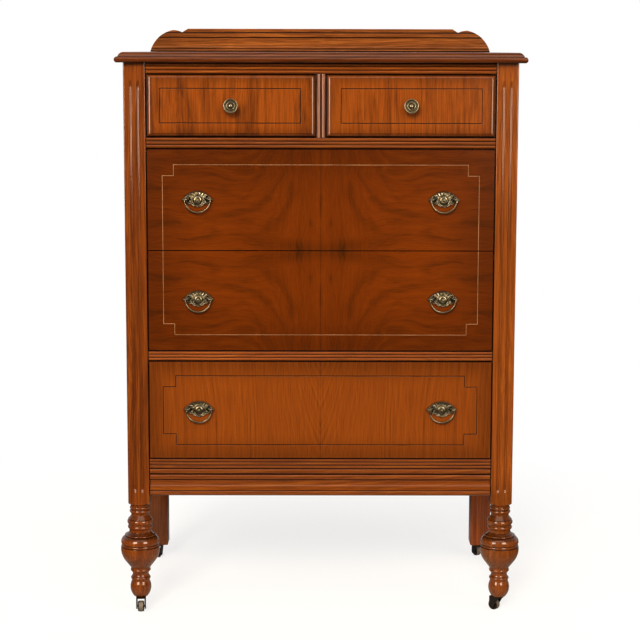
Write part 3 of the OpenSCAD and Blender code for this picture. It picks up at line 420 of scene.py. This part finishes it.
def makeWood(name, look, grain, glazed=None, shadedGrooves=(), darkerFacingUp=False, legStain=None):
    material, add = newMaterial(name)
    place = add("TexCoord").outputs["Object"]
    far, fibres, pores, dark = grain(add, place, look)
    rings = add("TexNoise", {"noise_dimensions": "1D", "Scale": 1 / (look["ringMm"] * mm), "Detail": 2.0,
                             "Roughness": 0.5}, {"W": far})
    half = look["figure"] / 2
    figure = add("MapRange", spread((0.25, 0.75, -half, half)), {0: rings})
    half = look["fibre"] / 2
    thread = add("MapRange", spread((0.25, 0.75, 0.5 - half, 0.5 + half)), {0: fibres})
    pattern = add("Math", {"operation": "ADD"}, {0: figure, 1: thread})
    if dark:
        pattern = add("Math", {"operation": "SUBTRACT"}, {0: pattern, 1: dark})
    ramp = add("ValToRGB", {}, {0: pattern})
    tint(ramp, look["hexes"])
    patchy = add("TexNoise", {"Scale": wear["patchScale"], "Detail": 2.0}, {"Vector": place})
    tone = add("MapRange", spread((0.3, 0.7, *look["tone"])), {0: patchy})
    # wax, dirt and painted shade in the corners, rubbed wood with a painted highlight on the edges, fine dark
    # pores
    corner = add("AmbientOcclusion", {"samples": 6, "Distance": wear["dirtAndShadeReach"]}).outputs["AO"]
    dirtAndShade = add("MapRange", spread(wear["dirtAndShade"]), {0: corner})
    rounded = add("Bevel", {"samples": 4, "Radius": wear["edgeSoft"]})
    worn = add("Bevel", {"samples": 4, "Radius": wear["edgeRadius"]})
    facing = add("NewGeometry").outputs["Normal"]
    same = add("VectorMath", {"operation": "DOT_PRODUCT"}, {0: worn, 1: facing}).outputs["Value"]
    # rubbed wood and a painted highlight: paler along the edges
    rubbedAndHighlit = add("MapRange", spread(wear["edge"]), {0: same})
    pits = add("MapRange", spread(wear["pore"]), {0: pores})
    shades = [tone, dirtAndShade]    # all that pales or darkens the stain
    if legStain or shadedGrooves:
        upAxis = add("SeparateXYZ", {}, {0: place}).outputs["Z"]
    if legStain:
        # another strength of stain on the turned leg below
        shades.append(add("MapRange", {**eased, **spread(legStain)}, {0: upAxis}))
    if darkerFacingUp:
        upward = add("SeparateXYZ", {}, {0: facing}).outputs["Z"]
        shades.append(add("MapRange", {**eased, **spread(wear["shoulder"])}, {0: upward}))
    shades += [rubbedAndHighlit, pits]
    for height, half in shadedGrooves:
        # painted shade: a dark line along a groove that runs from end to end
        off = add("Math", {"operation": "SUBTRACT", 1: height}, {0: upAxis})
        off = add("Math", {"operation": "ABSOLUTE"}, {0: off})
        shades.append(add("MapRange", {**eased, **spread((half * 0.4, half, wear["grooveShadeDark"], 1.0))}, {0: off}))
    if glazed:
        # darker stain wiped in along the borders of the front, and a black line of painted shade at its very
        # edge
        middle, half, reach = glazed
        offset = add("VectorMath", {"operation": "SUBTRACT", 1: middle}, {0: place})
        offset = add("VectorMath", {"operation": "ABSOLUTE"}, {0: offset})
        over = add("VectorMath", {"operation": "SUBTRACT", 1: half}, {0: offset})
        over = add("SeparateXYZ", {}, {0: over}).outputs
        edge = add("Math", {"operation": "SMOOTH_MAX", 2: reach / 2}, {0: over["X"], 1: over["Z"]})
        shades.append(add("MapRange", {**eased, **spread((-reach, 0.0, 1.0, wear["glazeDark"]))}, {0: edge}))
        brink = add("Math", {"operation": "MAXIMUM"}, {0: over["X"], 1: over["Z"]})
        shades.append(add("MapRange", {**eased, **spread(wear["line"])}, {0: brink}))
    gain = shades[0]
    for shade in shades[1:]:
        gain = add("Math", {"operation": "MULTIPLY"}, {0: gain, 1: shade})
    colour = add("VectorMath", {"operation": "SCALE"}, {0: ramp, "Scale": gain})
    # open pores and fibres show as a fine ripple in the varnish
    height = add("Math", {"operation": "MULTIPLY_ADD", 1: 0.6}, {0: pits, 2: fibres})
    bump = add("Bump", {"Strength": 0.25, "Distance": wear["rippleHigh"]},
               {"Height": height, "Normal": rounded})
    rough = add("MapRange", spread((0.3, 0.7, look["roughness"] - 0.06, look["roughness"] + 0.1)), {0: patchy})
    skin = add("BsdfPrincipled",
               {"IOR": 1.5, "Specular IOR Level": 0.0, "Coat Weight": look["coat"],
                "Coat Roughness": look["coatRoughness"]},
               {"Base Color": colour, "Roughness": rough, "Normal": bump, "Coat Normal": rounded})
    add("OutputMaterial", {}, {0: skin})
    return material


def dress(material, *names):
    for name in names:
        mesh = nodes[name].data
        if not mesh.materials:
            mesh.materials.append(material)
        for i in range(len(mesh.materials)):
            mesh.materials[i] = material


def frontField(*names):
    # middle and half sizes of one or more drawer fronts, for the glaze along their borders
    boxes = [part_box(name) for name in names]
    low = Vector([min(b[0][i] for b in boxes) for i in range(3)])
    high = Vector([max(b[1][i] for b in boxes) for i in range(3)])
    half = (high - low) / 2
    return tuple((low + high) / 2), (half.x, 1.0, half.z)


dress(makeWood("stainedGumUpright", uprightLook, logGrain, darkerFacingUp=True, legStain=(0.25, 0.258, 1.1, 1.0)),
      "front_post_left", "center_stile", "side_panel_left", "side_panel_right")
dress(makeWood("stainedGumUprightPaler", dict(uprightLook, hexes=("#44220a", "#753e13", "#92551f"),
                                              heart=(0.07, 0.2)), logGrain, darkerFacingUp=True,
               legStain=(0.27, 0.33, 0.64, 1.0)), "front_post_right")
# painted shade: a darker copy of the upright gum for the rear left post
dress(makeWood("stainedGumUprightShaded", dict(uprightLook, hexes=("#2b1404", "#50280b", "#683d12")), logGrain),
      "rear_post_left")
dress(makeWood("stainedGumUprightRedder", dict(uprightLook, hexes=("#3e1c05", "#71350d", "#925015")), logGrain),
      "rear_post_right")
dress(makeWood("stainedGumLevelPaler", dict(gumLook, hexes=("#371d0a", "#6b3c19", "#8d5725"), heart=(0.16, 0.1),
                                            figure=0.4, fibre=0.75, streakMm=(130, 1.7)),
               logGrain, shadedGrooves=galleryGrooveShade), "gallery_board")
# painted shade: a darker copy of the level gum for the top board
dress(makeWood("stainedGumLevelShaded", dict(gumLook, hexes=("#2c1303", "#502609", "#66360f"),
                                             heart=(0.2, 0.2)), logGrain), "top_board")
dress(makeWood("stainedGumLevel", dict(levelLook, hexes=("#371b06", "#65330d", "#834e16")), logGrain),
      "upper_rail", "base_rail", "apron_moulding")
# painted light: a lighter copy of the level gum for the frieze rail under the top's overhang and the middle
# rail
dress(makeWood("stainedGumLevelLit", dict(levelLook, hexes=("#3e1f08", "#723b12", "#945a1c")), logGrain),
      "frieze_rail", "middle_rail")
dress(makeWood("stainedGumDeep", dict(gumLook, along="y"), logGrain), "hidden_rails")
for side, look in smallLooks.items():
    front = f"small_{side}_front"
    dress(makeWood("walnutSmall" + side.title(), look, plumeGrain, glazed=(*frontField(front), 0.03)), front)
pair = ("top_drawer_front", "mid_drawer_front")
dress(makeWood("walnutButtLeaves", buttLook, buttGrain, glazed=(*frontField(*pair), 0.14)), *pair)
dress(makeWood("walnutArchedLeaves", archLook, archGrain, glazed=(*frontField("low_drawer_front"), 0.06)),
      "low_drawer_front")
dress(makeWood("poplarLevel", poplarLook, logGrain), "back_panel", "dust_panels",
      *[d + "_back" for d in drawerNames])
dress(makeWood("poplarDeep", dict(poplarLook, along="y"), logGrain), "center_divider", "runners_and_guides",
      *[d + part for part in ("_sides", "_bottom") for d in drawerNames])
print("stage: woods")

# Cast brass that has gone brown: olive brown in the hollows, yellow where hands rub it, a soft broken shine
brassLook = {"hollowHex": "#0e0a05", "rubbedHex": "#72664d", "roughness": 0.34, "spotMm": 2.5,
             "hollowReach": 3 * mm, "hollow": (0.45, 0.95), "edgeSoft": 0.3 * mm, "pitDeep": 0.2 * mm,
             "coat": 0.8, "coatRoughness": 0.08}
# Blackened iron of the casters: nearly black, dull, with a little brown rust
ironLook = {"blackHex": "#191513", "rustHex": "#3a2415", "roughness": 0.5, "spotMm": 3.0,
            "edgeSoft": 0.6 * mm, "pitDeep": 0.2 * mm}


def makeBrass(name, look):
    material, add = newMaterial(name)
    place = add("TexCoord").outputs["Object"]
    spots = add("TexNoise", {"Scale": 1 / (look["spotMm"] * mm), "Detail": 3.0}, {"Vector": place})
    corner = add("AmbientOcclusion", {"samples": 8, "Distance": look["hollowReach"]}).outputs["AO"]
    worn = add("MapRange", {**eased, **spread(look["hollow"])}, {0: corner})
    stray = add("MapRange", spread((0.35, 0.65, -0.15, 0.25)), {0: spots})
    worn = add("Math", {"operation": "MULTIPLY_ADD", 1: 0.85}, {0: worn, 2: stray})
    colour = add("Mix", {"data_type": "RGBA", 6: linear(look["hollowHex"]), 7: linear(look["rubbedHex"])},
                 {0: worn}).outputs[2]
    rough = add("MapRange", {3: look["roughness"] + 0.25, 4: look["roughness"] - 0.05}, {0: worn})
    rounded = add("Bevel", {"samples": 4, "Radius": look["edgeSoft"]})
    bump = add("Bump", {"Strength": 0.25, "Distance": look["pitDeep"]}, {"Height": spots, "Normal": rounded})
    skin = add("BsdfPrincipled", {"Metallic": 1.0, "Coat Weight": look["coat"],
                                  "Coat Roughness": look["coatRoughness"]},
               {"Base Color": colour, "Roughness": rough, "Normal": bump})
    add("OutputMaterial", {}, {0: skin})
    return material


def makeIron(name, look):
    material, add = newMaterial(name)
    place = add("TexCoord").outputs["Object"]
    spots = add("TexNoise", {"Scale": 1 / (look["spotMm"] * mm), "Detail": 4.0}, {"Vector": place})
    rust = add("MapRange", {1: 0.5, 2: 0.7}, {0: spots})
    colour = add("Mix", {"data_type": "RGBA", 6: linear(look["blackHex"]), 7: linear(look["rustHex"])},
                 {0: rust}).outputs[2]
    rounded = add("Bevel", {"samples": 4, "Radius": look["edgeSoft"]})
    bump = add("Bump", {"Strength": 0.3, "Distance": look["pitDeep"]}, {"Height": spots, "Normal": rounded})
    rough = add("MapRange", {3: look["roughness"] - 0.1, 4: look["roughness"] + 0.2}, {0: spots})
    skin = add("BsdfPrincipled", {"Metallic": 0.6}, {"Base Color": colour, "Roughness": rough, "Normal": bump})
    add("OutputMaterial", {}, {0: skin})
    return material


agedBrass = makeBrass("agedBrass", brassLook)
dress(agedBrass, "knob_left", "knob_right")
dress(makeIron("blackenedIron", ironLook), "caster_sockets", *["caster_fork_" + c for c in corners])
print("stage: metals")


def addPiece(name, points, faces, materials, body, replaced, smooth, faceMaterials=None):
    # one piece from points in metres, in its place, riding on its body; smooth is the angle in degrees up to
    # which it shades smoothly
    mesh = bpy.data.meshes.new(name)
    mesh.from_pydata([tuple(p) for p in points], [], [tuple(f) for f in faces])
    for material in materials:
        mesh.materials.append(material)
    if faceMaterials is not None:
        mesh.polygons.foreach_set("material_index", faceMaterials)
    mesh.update()
    piece = bpy.data.objects.new(name, mesh)
    bpy.context.scene.collection.objects.link(piece)
    if smooth:
        mesh.polygons.foreach_set("use_smooth", [True] * len(mesh.polygons))
        mesh.set_sharp_from_angle(angle=math.radians(smooth))
    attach(piece, body)
    if replaced:
        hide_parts(replaced)


def turnProfile(profile, sides):
    # revolves (distance along, radius) points about +X; a radius of 0 closes an end
    points, faces, rows = [], [], []
    for along, radius in profile:
        if radius == 0:
            rows.append([len(points)] * sides)
            points.append((along, 0, 0))
        else:
            rows.append(list(range(len(points), len(points) + sides)))
            for k in range(sides):
                a = 2 * math.pi * k / sides
                points.append((along, radius * math.cos(a), radius * math.sin(a)))
    for low, high in zip(rows, rows[1:]):
        for k in range(sides):
            j = (k + 1) % sides
            ring = [low[k], low[j], high[j], high[k]]
            face = [c for i, c in enumerate(ring) if c not in ring[:i]]
            if len(face) > 2:
                faces.append(face)
    return np.array(points, float), faces


def sweepWire(path, radii, sides):
    # a round wire along points in one plane whose normal is Y, with flat ends
    path = np.array(path, float)
    ahead = np.gradient(path, axis=0)
    ahead /= np.linalg.norm(ahead, axis=1)[:, None]
    out = np.cross(ahead, (0, 1, 0))
    points, faces = [], []
    for p, o, r in zip(path, out, radii):
        for k in range(sides):
            a = 2 * math.pi * k / sides
            points.append(p + r * (math.cos(a) * o + math.sin(a) * np.array((0, 1, 0))))
    last = len(path) - 1
    for i in range(last):
        for k in range(sides):
            j = (k + 1) % sides
            faces.append((i * sides + k, i * sides + j, (i + 1) * sides + j, (i + 1) * sides + k))
    faces.append(tuple(reversed(range(sides))))
    faces.append(tuple(last * sides + k for k in range(sides)))
    return np.array(points), faces


def joinParts(parts):
    # several (points, faces) lists as one
    points, faces, start = [], [], 0
    for some, theirs in parts:
        points.append(np.array(some, float))
        faces += [tuple(i + start for i in f) for f in theirs]
        start += len(some)
    return np.vstack(points), faces


# Cast back plates of the pulls. Sizes in millimetres, u across and v up from the middle of the boss
plate = {
    "halfWidth": 34.0,
    "archTop": 20.6,
    "extent": (36, -18, 22.5),    # half width, lowest and highest of the grid that the plate is cut from
    "grid": 0.55,
    "edgeThick": 0.25,
    "backGap": 0.05,              # between the plate's back and the drawer front
    "rim": 0.95,
    # discs that the outline runs round, and the holes pierced in it: across, up and radius
    "lobes": ((0, 0, 13.6), (0, -9.5, 6.6), (8, -7.2, 6.8), (18.8, -5.4, 4.7), (13.2, -4.0, 5.6),
              (23.8, -3.4, 2.6), (31.2, 0.6, 3.1)),
    "piercings": ((17.6, 2.4, 1.5), (21.6, 7.6, 1.3), (20.4, -1.0, 1.1)),
    "archScroll": (17.4, 7.6),
    "earScroll": (18.6, -5.0),
    "earBud": (31.2, 0.7),
    # section of the boss, from its middle outwards: a bud, a sunk ring, a dome and a raised ring
    "bossRadius": 13.7,
    "bossAt": (0, 1.2, 1.9, 2.3, 5.0, 5.7, 6.4, 7.4, 8.6, 9.6, 10.4, 11.0, 11.6, 12.3, 13.0, 13.7),
    "bossHigh": (6.3, 6.1, 5.4, 4.9, 5.2, 5.3, 5.25, 5.0, 4.4, 3.6, 2.6, 1.8, 2.2, 2.7, 2.2, 0.6),
    "boltAt": 16.0,
    "boltRadius": 2.0,
    "nut": (5.0, 3.0, 1.9),       # radius over the corners, thickness and bore
    "pivotAt": 25.3,
    "pivotUp": 2.0,
    "pivotOut": 9.5,
    "frontThick": 22.0,
}
# The bail: a wire that swells towards the grip, with a small collar and a rounded end at each pivot
bailShape = {
    "radius": 29.0,
    "steps": 56,
    "wireEnd": 1.55,
    "wireMiddle": 2.0,
    "wireSolid": 1.9,    # radius of the wire in the CAD solid: its pivots lie this far below its top
    "collar": 0.45,
    "collarAt": 0.19,    # in radians from the end
    "collarWide": 0.045,
    "pin": 1.2,
}


def softMax(a, b, k):
    h = np.clip(0.5 + 0.5 * (a - b) / k, 0, 1)
    return b + (a - b) * h + k * h * (1 - h)


def plateInside(u, v):
    # how far a point lies inside the outline, below 0 outside
    a = np.abs(u)
    archR = (plate["halfWidth"] ** 2 + plate["archTop"] ** 2) / (2 * plate["archTop"])
    arch = archR - np.hypot(a, v - (plate["archTop"] - archR))
    # small lobes along the arch, like the tips of leaves
    along = np.arctan2(a, v - (plate["archTop"] - archR)) * archR
    arch = arch - 0.45 * (0.5 + 0.5 * np.cos(along * 2 * math.pi / 5.6)) * (a > 3)
    shoulder = v + 1.5 - 2.6 * np.cos((a - 31) / 5.5) * (a > 22) - 0.05 * (a - 20)
    inside = np.minimum(arch, shoulder)
    for cu, cv, r in plate["lobes"]:
        inside = softMax(inside, r - np.hypot(a - cu, v - cv), 0.8)
    for cu, cv, r in plate["piercings"]:
        inside = np.minimum(inside, np.hypot(a - cu, v - cv) - r)
    return inside


def ridge(distance, width):
    return np.exp(-(distance / width) ** 2)


def plateRelief(u, v, inside):
    # height of the cast relief above the drawer's face
    a, r = np.abs(u), np.hypot(u, v)
    high = 1.15 * np.sqrt(1 - (1 - np.clip(inside / 0.9, 0, 1)) ** 2) + plate["edgeThick"]
    high = high + plate["rim"] * ridge(inside - 1.1, 0.55)
    # leaves fan out over the arch from the boss
    fan = np.arctan2(a, v + 6)
    leaves = 0.5 + 0.5 * np.cos(fan * 22)
    onArch = np.clip((r - 13) / 2, 0, 1) * np.clip((v + 1) / 3, 0, 1)
    high = high + onArch * (0.6 * leaves - 0.3) * np.clip((inside - 1) / 1.5, 0, 1)
    # a scroll in each wing of the arch
    cu, cv = plate["archScroll"]
    s = np.hypot(a - cu, v - cv)
    high = high + 1.1 * ridge(s - 2.6, 0.8) + 1.0 * ridge(s, 0.9)
    high = high + 0.9 * ridge(v - (3.4 + 0.012 * (a - 21) ** 2), 0.8) * np.clip((a - 14) / 3, 0, 1) * (a < 31)
    # scrolled lobes under the ears
    cu, cv = plate["earScroll"]
    s = np.hypot(a - cu, v - cv)
    turn = np.arctan2(v - cv, a - cu)
    coil = np.abs((s - 0.42 * turn + 6) % 2.5 - 1.25)
    high = high + 0.95 * ridge(1.25 - coil, 0.55) * np.clip((5.2 - s) / 1.0, 0, 1)
    high = high + 1.2 * ridge(s, 1.0)
    # ears end in small buds
    cu, cv = plate["earBud"]
    high = high + 1.5 * ridge(np.hypot(a - cu, v - cv), 1.9)
    # shell below the boss
    ribs = 0.5 + 0.5 * np.cos(np.arctan2(u, -(v + 2)) * 16)
    high = high + 0.7 * ribs * np.clip((-v - 9) / 3, 0, 1) * np.clip((r - 12.6) / 1.5, 0, 1) * (a < 11)
    # the boss, with four petals round its bud
    dome = np.interp(r, plate["bossAt"], plate["bossHigh"])
    petals = np.clip((5.6 - (a + np.abs(v))) / 1.2, 0, 1) * (1 - ridge(np.minimum(a, np.abs(v)), 0.5))
    dome = dome + 0.35 * petals * (r > 2)
    return np.where(r < plate["bossRadius"], np.maximum(high, dome), high)


def pullPlate():
    # a grid over the plate: cells inside the outline are kept, their outer corners are drawn to the outline
    step = plate["grid"]
    halfWide, lowest, highest = plate["extent"]
    us = np.arange(-halfWide, halfWide + step, step)
    vs = np.arange(lowest, highest + step, step)
    u, v = np.meshgrid(us, vs, indexing="ij")
    keep = plateInside(u[:-1, :-1] + step / 2, v[:-1, :-1] + step / 2) > 0
    cells = np.zeros(u.shape, int)    # how many kept cells meet at each point
    for i, j in ((0, 0), (1, 0), (1, 1), (0, 1)):
        cells[i:i + keep.shape[0], j:j + keep.shape[1]] += keep
    used = cells > 0
    edge = used & (cells < 4)
    nudge = 0.05
    for _ in range(3):
        inside = plateInside(u, v)
        du = (plateInside(u + nudge, v) - plateInside(u - nudge, v)) / (2 * nudge)
        dv = (plateInside(u, v + nudge) - plateInside(u, v - nudge)) / (2 * nudge)
        size = np.maximum(du * du + dv * dv, 0.2)
        move = np.clip(inside, -0.6, 0.6) * edge
        u, v = u - move * du / size, v - move * dv / size
    inside = np.maximum(plateInside(u, v), 0)
    inside[edge] = 0
    high = plateRelief(u, v, inside)
    high[edge] = plate["edgeThick"]
    index = -np.ones(u.shape, int)
    index[used] = np.arange(used.sum())
    points = np.column_stack((u[used], -high[used], v[used]))
    backStart = len(points)
    faces, sideEdges = [], {}
    for i, j in zip(*np.nonzero(keep)):
        face = (index[i, j], index[i + 1, j], index[i + 1, j + 1], index[i, j + 1])
        faces.append(face)
        for k in range(4):
            pair = (face[k], face[(k + 1) % 4])
            if (pair[1], pair[0]) in sideEdges:
                del sideEdges[(pair[1], pair[0])]
            else:
                sideEdges[pair] = True
    rimPoints = sorted({p for pair in sideEdges for p in pair})
    behind = {p: backStart + n for n, p in enumerate(rimPoints)}
    flat = points[rimPoints].copy()
    flat[:, 1] = -plate["backGap"]
    points = np.vstack((points, flat))
    for first, second in sideEdges:
        faces.append((second, first, behind[first], behind[second]))
    # the flat back, with the piercings left open
    rimEdges = [(behind[first] - backStart, behind[second] - backStart) for first, second in sideEdges]
    back = delaunay_2d_cdt([Vector((p[0], p[2])) for p in flat], rimEdges, [], 3, 1e-5)
    faces += [tuple(backStart + back[3][i][0] for i in reversed(f)) for f in back[2]]
    return points, faces


def aboutY(part):
    # a part turned about X, stood along -Y
    points, faces = part
    return np.column_stack((points[:, 1], -points[:, 0], points[:, 2])), faces


def hexNut(radius, thick, bore):
    section = [(0, bore), (0, radius * 0.9), (0.5, radius), (thick - 0.6, radius), (thick, radius * 0.86),
               (thick, bore), (0, bore)]
    return turnProfile(section, 6)


def pullPosts():
    # two turned posts that hold the bail, and the bolts with their nuts behind the drawer front
    parts = []
    out, thick, stem = plate["pivotOut"], plate["frontThick"], plate["boltRadius"]
    post = [(0.2, 0), (0.2, 3.6), (1.6, 3.6), (2.2, 3.0), (3.4, 2.1), (out - 3.6, 1.9), (out - 3.0, 2.6),
            (out - 2.0, 2.9), (out, 3.0), (out + 1.4, 2.6), (out + 2.4, 1.6), (out + 2.8, 0)]
    bolt = [(-thick - 4.8, 0), (-thick - 4.8, 1.6), (-thick - 4.3, stem), (0, stem), (0, 0)]
    for s in (-1, 1):
        points, faces = aboutY(turnProfile(post, 20))
        parts.append((points + (s * plate["pivotAt"], 0, plate["pivotUp"]), faces))
        points, faces = aboutY(turnProfile(bolt, 16))
        parts.append((points + (s * plate["boltAt"], 0, 0), faces))
        points, faces = aboutY(hexNut(*plate["nut"]))
        parts.append((points + (s * plate["boltAt"], thick + 3.05, 0), faces))
    return joinParts(parts)


def bailWire():
    path, radii = [], []
    radius, steps = bailShape["radius"], bailShape["steps"]
    for k in range(steps + 1):
        a = math.pi * k / steps
        path.append((-radius * math.cos(a), 0, -radius * math.sin(a)))
        fromCollar = (min(a, math.pi - a) - bailShape["collarAt"]) / bailShape["collarWide"]
        radii.append(bailShape["wireEnd"] + (bailShape["wireMiddle"] - bailShape["wireEnd"]) * math.sin(a)
                     + bailShape["collar"] * math.exp(-fromCollar ** 2))
    parts = [sweepWire(path, radii, 16)]
    pin = bailShape["pin"]
    ball = [(-2.3, 0), (-2.15, 0.9), (-1.5, 1.65), (-0.4, 2.15), (0.6, 2.1), (1.6, 1.5), (2.3, pin), (6.0, pin),
            (6.0, 0)]
    points, faces = turnProfile(ball, 16)
    for s in (-1, 1):
        placed = points * (-s, 1, 1) + (s * radius, 0, 0)
        parts.append((placed, faces if s < 0 else [tuple(reversed(f)) for f in faces]))
    return joinParts(parts)


castPlate = pullPlate()
platePosts = pullPosts()
for row in largeRows:
    parts = []
    for side in ("left", "right"):
        low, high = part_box(f"{row}_bail_{side}")
        x = (low.x + high.x) / 2
        z = high.z - bailShape["wireSolid"] * mm - plate["pivotUp"] * mm
        for points, faces in (castPlate, platePosts):
            parts.append((points * mm + (x, postFront, z), faces))
    points, faces = joinParts(parts)
    addPiece(row + "PullPlates", points, faces, [agedBrass], row + "_drawer", row + "_pull_plates", 50)
print("stage: pull plates,", len(castPlate[1]), "faces each")

wirePoints, wireFaces = bailWire()
for row in largeRows:
    for side in ("left", "right"):
        node = f"{row}_bail_{side}"
        low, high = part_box(node)
        middle = ((low.x + high.x) / 2, (low.y + high.y) / 2, high.z - bailShape["wireSolid"] * mm)
        addPiece(f"{row}Bail{side.title()}", wirePoints * mm + middle, wireFaces, [agedBrass], node, node,
                 60)
print("stage: bails")

# Caster wheels, in millimetres: a turned tread of hard wood between two dark cheeks
casterWheel = {"radius": 12.5, "halfWidth": 7.25, "treadHalf": 4.9, "bore": 2.06, "sides": 64}
treadLook = {"hexes": ("#36302a", "#564c3f", "#6d6253"), "roughness": 0.55, "scuffScale": 420.0,
             "scuffDeep": 0.2 * mm}
cheekLook = dict(ironLook, blackHex="#17120f", rustHex="#33231a", roughness=0.42, spotMm=4.0)


def makeTread(name, look):
    # turned wood, rubbed grey by the floor, with scuffs about 2 mm wide
    material, add = newMaterial(name)
    place = add("TexCoord").outputs["Object"]
    scuffs = add("TexNoise", {"Scale": look["scuffScale"], "Detail": 4.0}, {"Vector": place})
    ramp = add("ValToRGB", {}, {0: scuffs})
    tint(ramp, look["hexes"], 0.3, 0.7)
    bump = add("Bump", {"Strength": 0.3, "Distance": look["scuffDeep"]}, {"Height": scuffs})
    rough = add("MapRange", {3: look["roughness"] - 0.1, 4: look["roughness"] + 0.15}, {0: scuffs})
    skin = add("BsdfPrincipled", {}, {"Base Color": ramp, "Roughness": rough, "Normal": bump})
    add("OutputMaterial", {}, {0: skin})
    return material


def turnedWheel():
    # a crowned tread and hollowed cheeks round the axle, with 0 for a face of the tread and 1 for the cheeks
    w, t, r, b = (casterWheel[key] for key in ("halfWidth", "treadHalf", "radius", "bore"))
    half = [(0, r), (t * 0.6, r - 0.02), (t - 0.3, r - 0.12), (t, r - 0.45), (t + 0.25, r - 0.35),
            (w - 1.4, r - 0.75), (w - 0.5, r - 1.7), (w - 0.15, r - 3.1), (w - 0.3, r - 4.2),
            (w - 1.1, r - 4.9), (w - 1.3, 5.4), (w - 0.7, 4.6), (w, 4.2), (w, b + 0.5), (w - 0.5, b)]
    section = [(-x, y) for x, y in reversed(half)][:-1] + half + [(-(w - 0.5), b)]
    points, faces = turnProfile(section, casterWheel["sides"])
    far = np.hypot(points[:, 1], points[:, 2])
    onCheek = [int(max(abs(points[f, 0])) > t + 0.01 or min(far[f]) <= r - 0.5) for f in faces]
    return points, faces, onCheek


paleTread = makeTread("paleTurnedTread", treadLook)
darkCheek = makeIron("darkWheelCheek", cheekLook)
wheelPoints, wheelFaces, onCheek = turnedWheel()
axles = {j["child"]: j for j in frame["joints"] if j["child"].startswith("caster_wheel")}
for corner in corners:
    name = "caster_wheel_" + corner
    axle = Vector(axles[name]["axis"])
    turned = Vector((1, 0, 0)).rotation_difference(axle).to_matrix()
    placed = [turned @ Vector(p * mm) + Vector(axles[name]["pos_m"]) for p in wheelPoints]
    addPiece("casterWheel" + corner.upper(), placed, wheelFaces, [paleTread, darkCheek], name, name,
             40, onCheek)
print("stage: caster wheels")

# Stringing let into the two upper drawer fronts, and dark and pale lines of painted shade and painted light on
# the others. Sizes in millimetres, lines by distance from the middle and height
stringing = {
    "width": 1.25,
    "proud": 0.06,
    "deep": 0.5,
    "roughness": 0.4,
    "tanHex": "#866649",
    # the dark and the pale colour are painted shade and painted light
    "darkHex": "#1a0c04",
    "paleHex": "#6f452a",
    "top": ((354, drawerSplit / mm + 1), (354, 1008.5), (329, 1008.5), (329, 1033)),
    "mid": ((354, drawerSplit / mm - 1), (354, 674.5), (329, 674.5), (329, 649.6)),
    "lowOver": ((356, 529.7), (327.5, 529.7), (327.5, 555)),
    "lowUnder": ((356, 421), (327.5, 421), (327.5, 395.9)),
    "small": ((358, 1125.4), (358, 1201.7), (45, 1201.7), (45, 1125.4)),
    # a dark line of painted shade with a paler one of painted light just below and beside it: moved across and
    # up, width, and how far it is sunk
    "shadeAndLightLines": {"Dark": (-0.3, 0.4, 1.5, 0.01), "Pale": (0.75, -0.75, 0.8, 0)},
}


def makeStringing(name, hexText):
    # a thin strip under the varnish: plain wood for the tan stringing, painted shade for the dark line and
    # painted light for the pale one. It only varies a little along its length
    material, add = newMaterial(name)
    place = add("TexCoord").outputs["Object"]
    uneven = add("TexNoise", {"Scale": 30.0, "Detail": 4.0, "Roughness": 0.7}, {"Vector": place})
    gain = add("MapRange", {1: 0.3, 2: 0.7, 3: 0.55, 4: 1.2}, {0: uneven})
    colour = add("VectorMath", {"operation": "SCALE", 0: linear(hexText)[:3]}, {"Scale": gain})
    bump = add("Bump", {"Strength": 0.2, "Distance": 0.1 * mm}, {"Height": uneven})
    skin = add("BsdfPrincipled", {"Roughness": stringing["roughness"], "Specular IOR Level": 0.0,
                                  "Coat Weight": 0.8, "Coat Roughness": 0.17},
               {"Base Color": colour, "Normal": bump})
    add("OutputMaterial", {}, {0: skin})
    return material


def letInString(name, line, face, body, material, closed, width=stringing["width"]):
    # a mitred strip along level and upright runs; face is the height of the wood in y
    line = [Vector(p) for p in line]
    count = len(line)
    points, faces = [], []
    for i, p in enumerate(line):
        ways = []
        if closed or i:
            ways.append((p - line[i - 1]).normalized())
        if closed or i < count - 1:
            ways.append((line[(i + 1) % count] - p).normalized())
        side = Vector((-sum(way.y for way in ways), sum(way.x for way in ways)))
        for offset in (-width / 2, width / 2):
            q = p + side * offset
            for y in (-stringing["proud"], stringing["deep"]):
                points.append((q.x * mm, face + y * mm, q.y * mm))
    for i in range(count if closed else count - 1):
        a, b = 4 * i, 4 * ((i + 1) % count)
        faces += [(a, b, b + 2, a + 2), (a + 1, a + 3, b + 3, b + 1), (a, a + 1, b + 1, b),
                  (a + 2, b + 2, b + 3, a + 3)]
    if not closed:
        last = 4 * (count - 1)
        faces += [(0, 2, 3, 1), (last, last + 1, last + 3, last + 2)]
    addPiece(name, points, faces, [material], body, None, 0)


def bothSides(half):
    return [(-x, z) for x, z in half] + [(x, z) for x, z in reversed(half)]


strings = {tone: makeStringing(tone + "Stringing", stringing[tone + "Hex"]) for tone in ("tan", "dark", "pale")}
for row in ("top", "mid"):
    letInString(row + "DrawerString", bothSides(stringing[row]), postFront, row + "_drawer", strings["tan"],
                False)
lowRing = bothSides(stringing["lowOver"]) + bothSides(stringing["lowUnder"])[::-1]
rings = [("low", lowRing, postFront, "low_drawer")]
for side, s in (("left", -1), ("right", 1)):
    rings.append(("small" + side.title(), [(s * x, z) for x, z in stringing["small"]],
                  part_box("small_left_front")[0].y, f"small_{side}_drawer"))
# on these fronts the dark and pale lines paint the shade and the light of a scribed line
for label, ring, face, body in rings:
    for tone, (across, up, width, sunk) in stringing["shadeAndLightLines"].items():
        letInString(label + tone + "String", [(x + across, z + up) for x, z in ring], face + sunk * mm, body,
                    strings[tone.lower()], True, width)
print("stage: stringing")
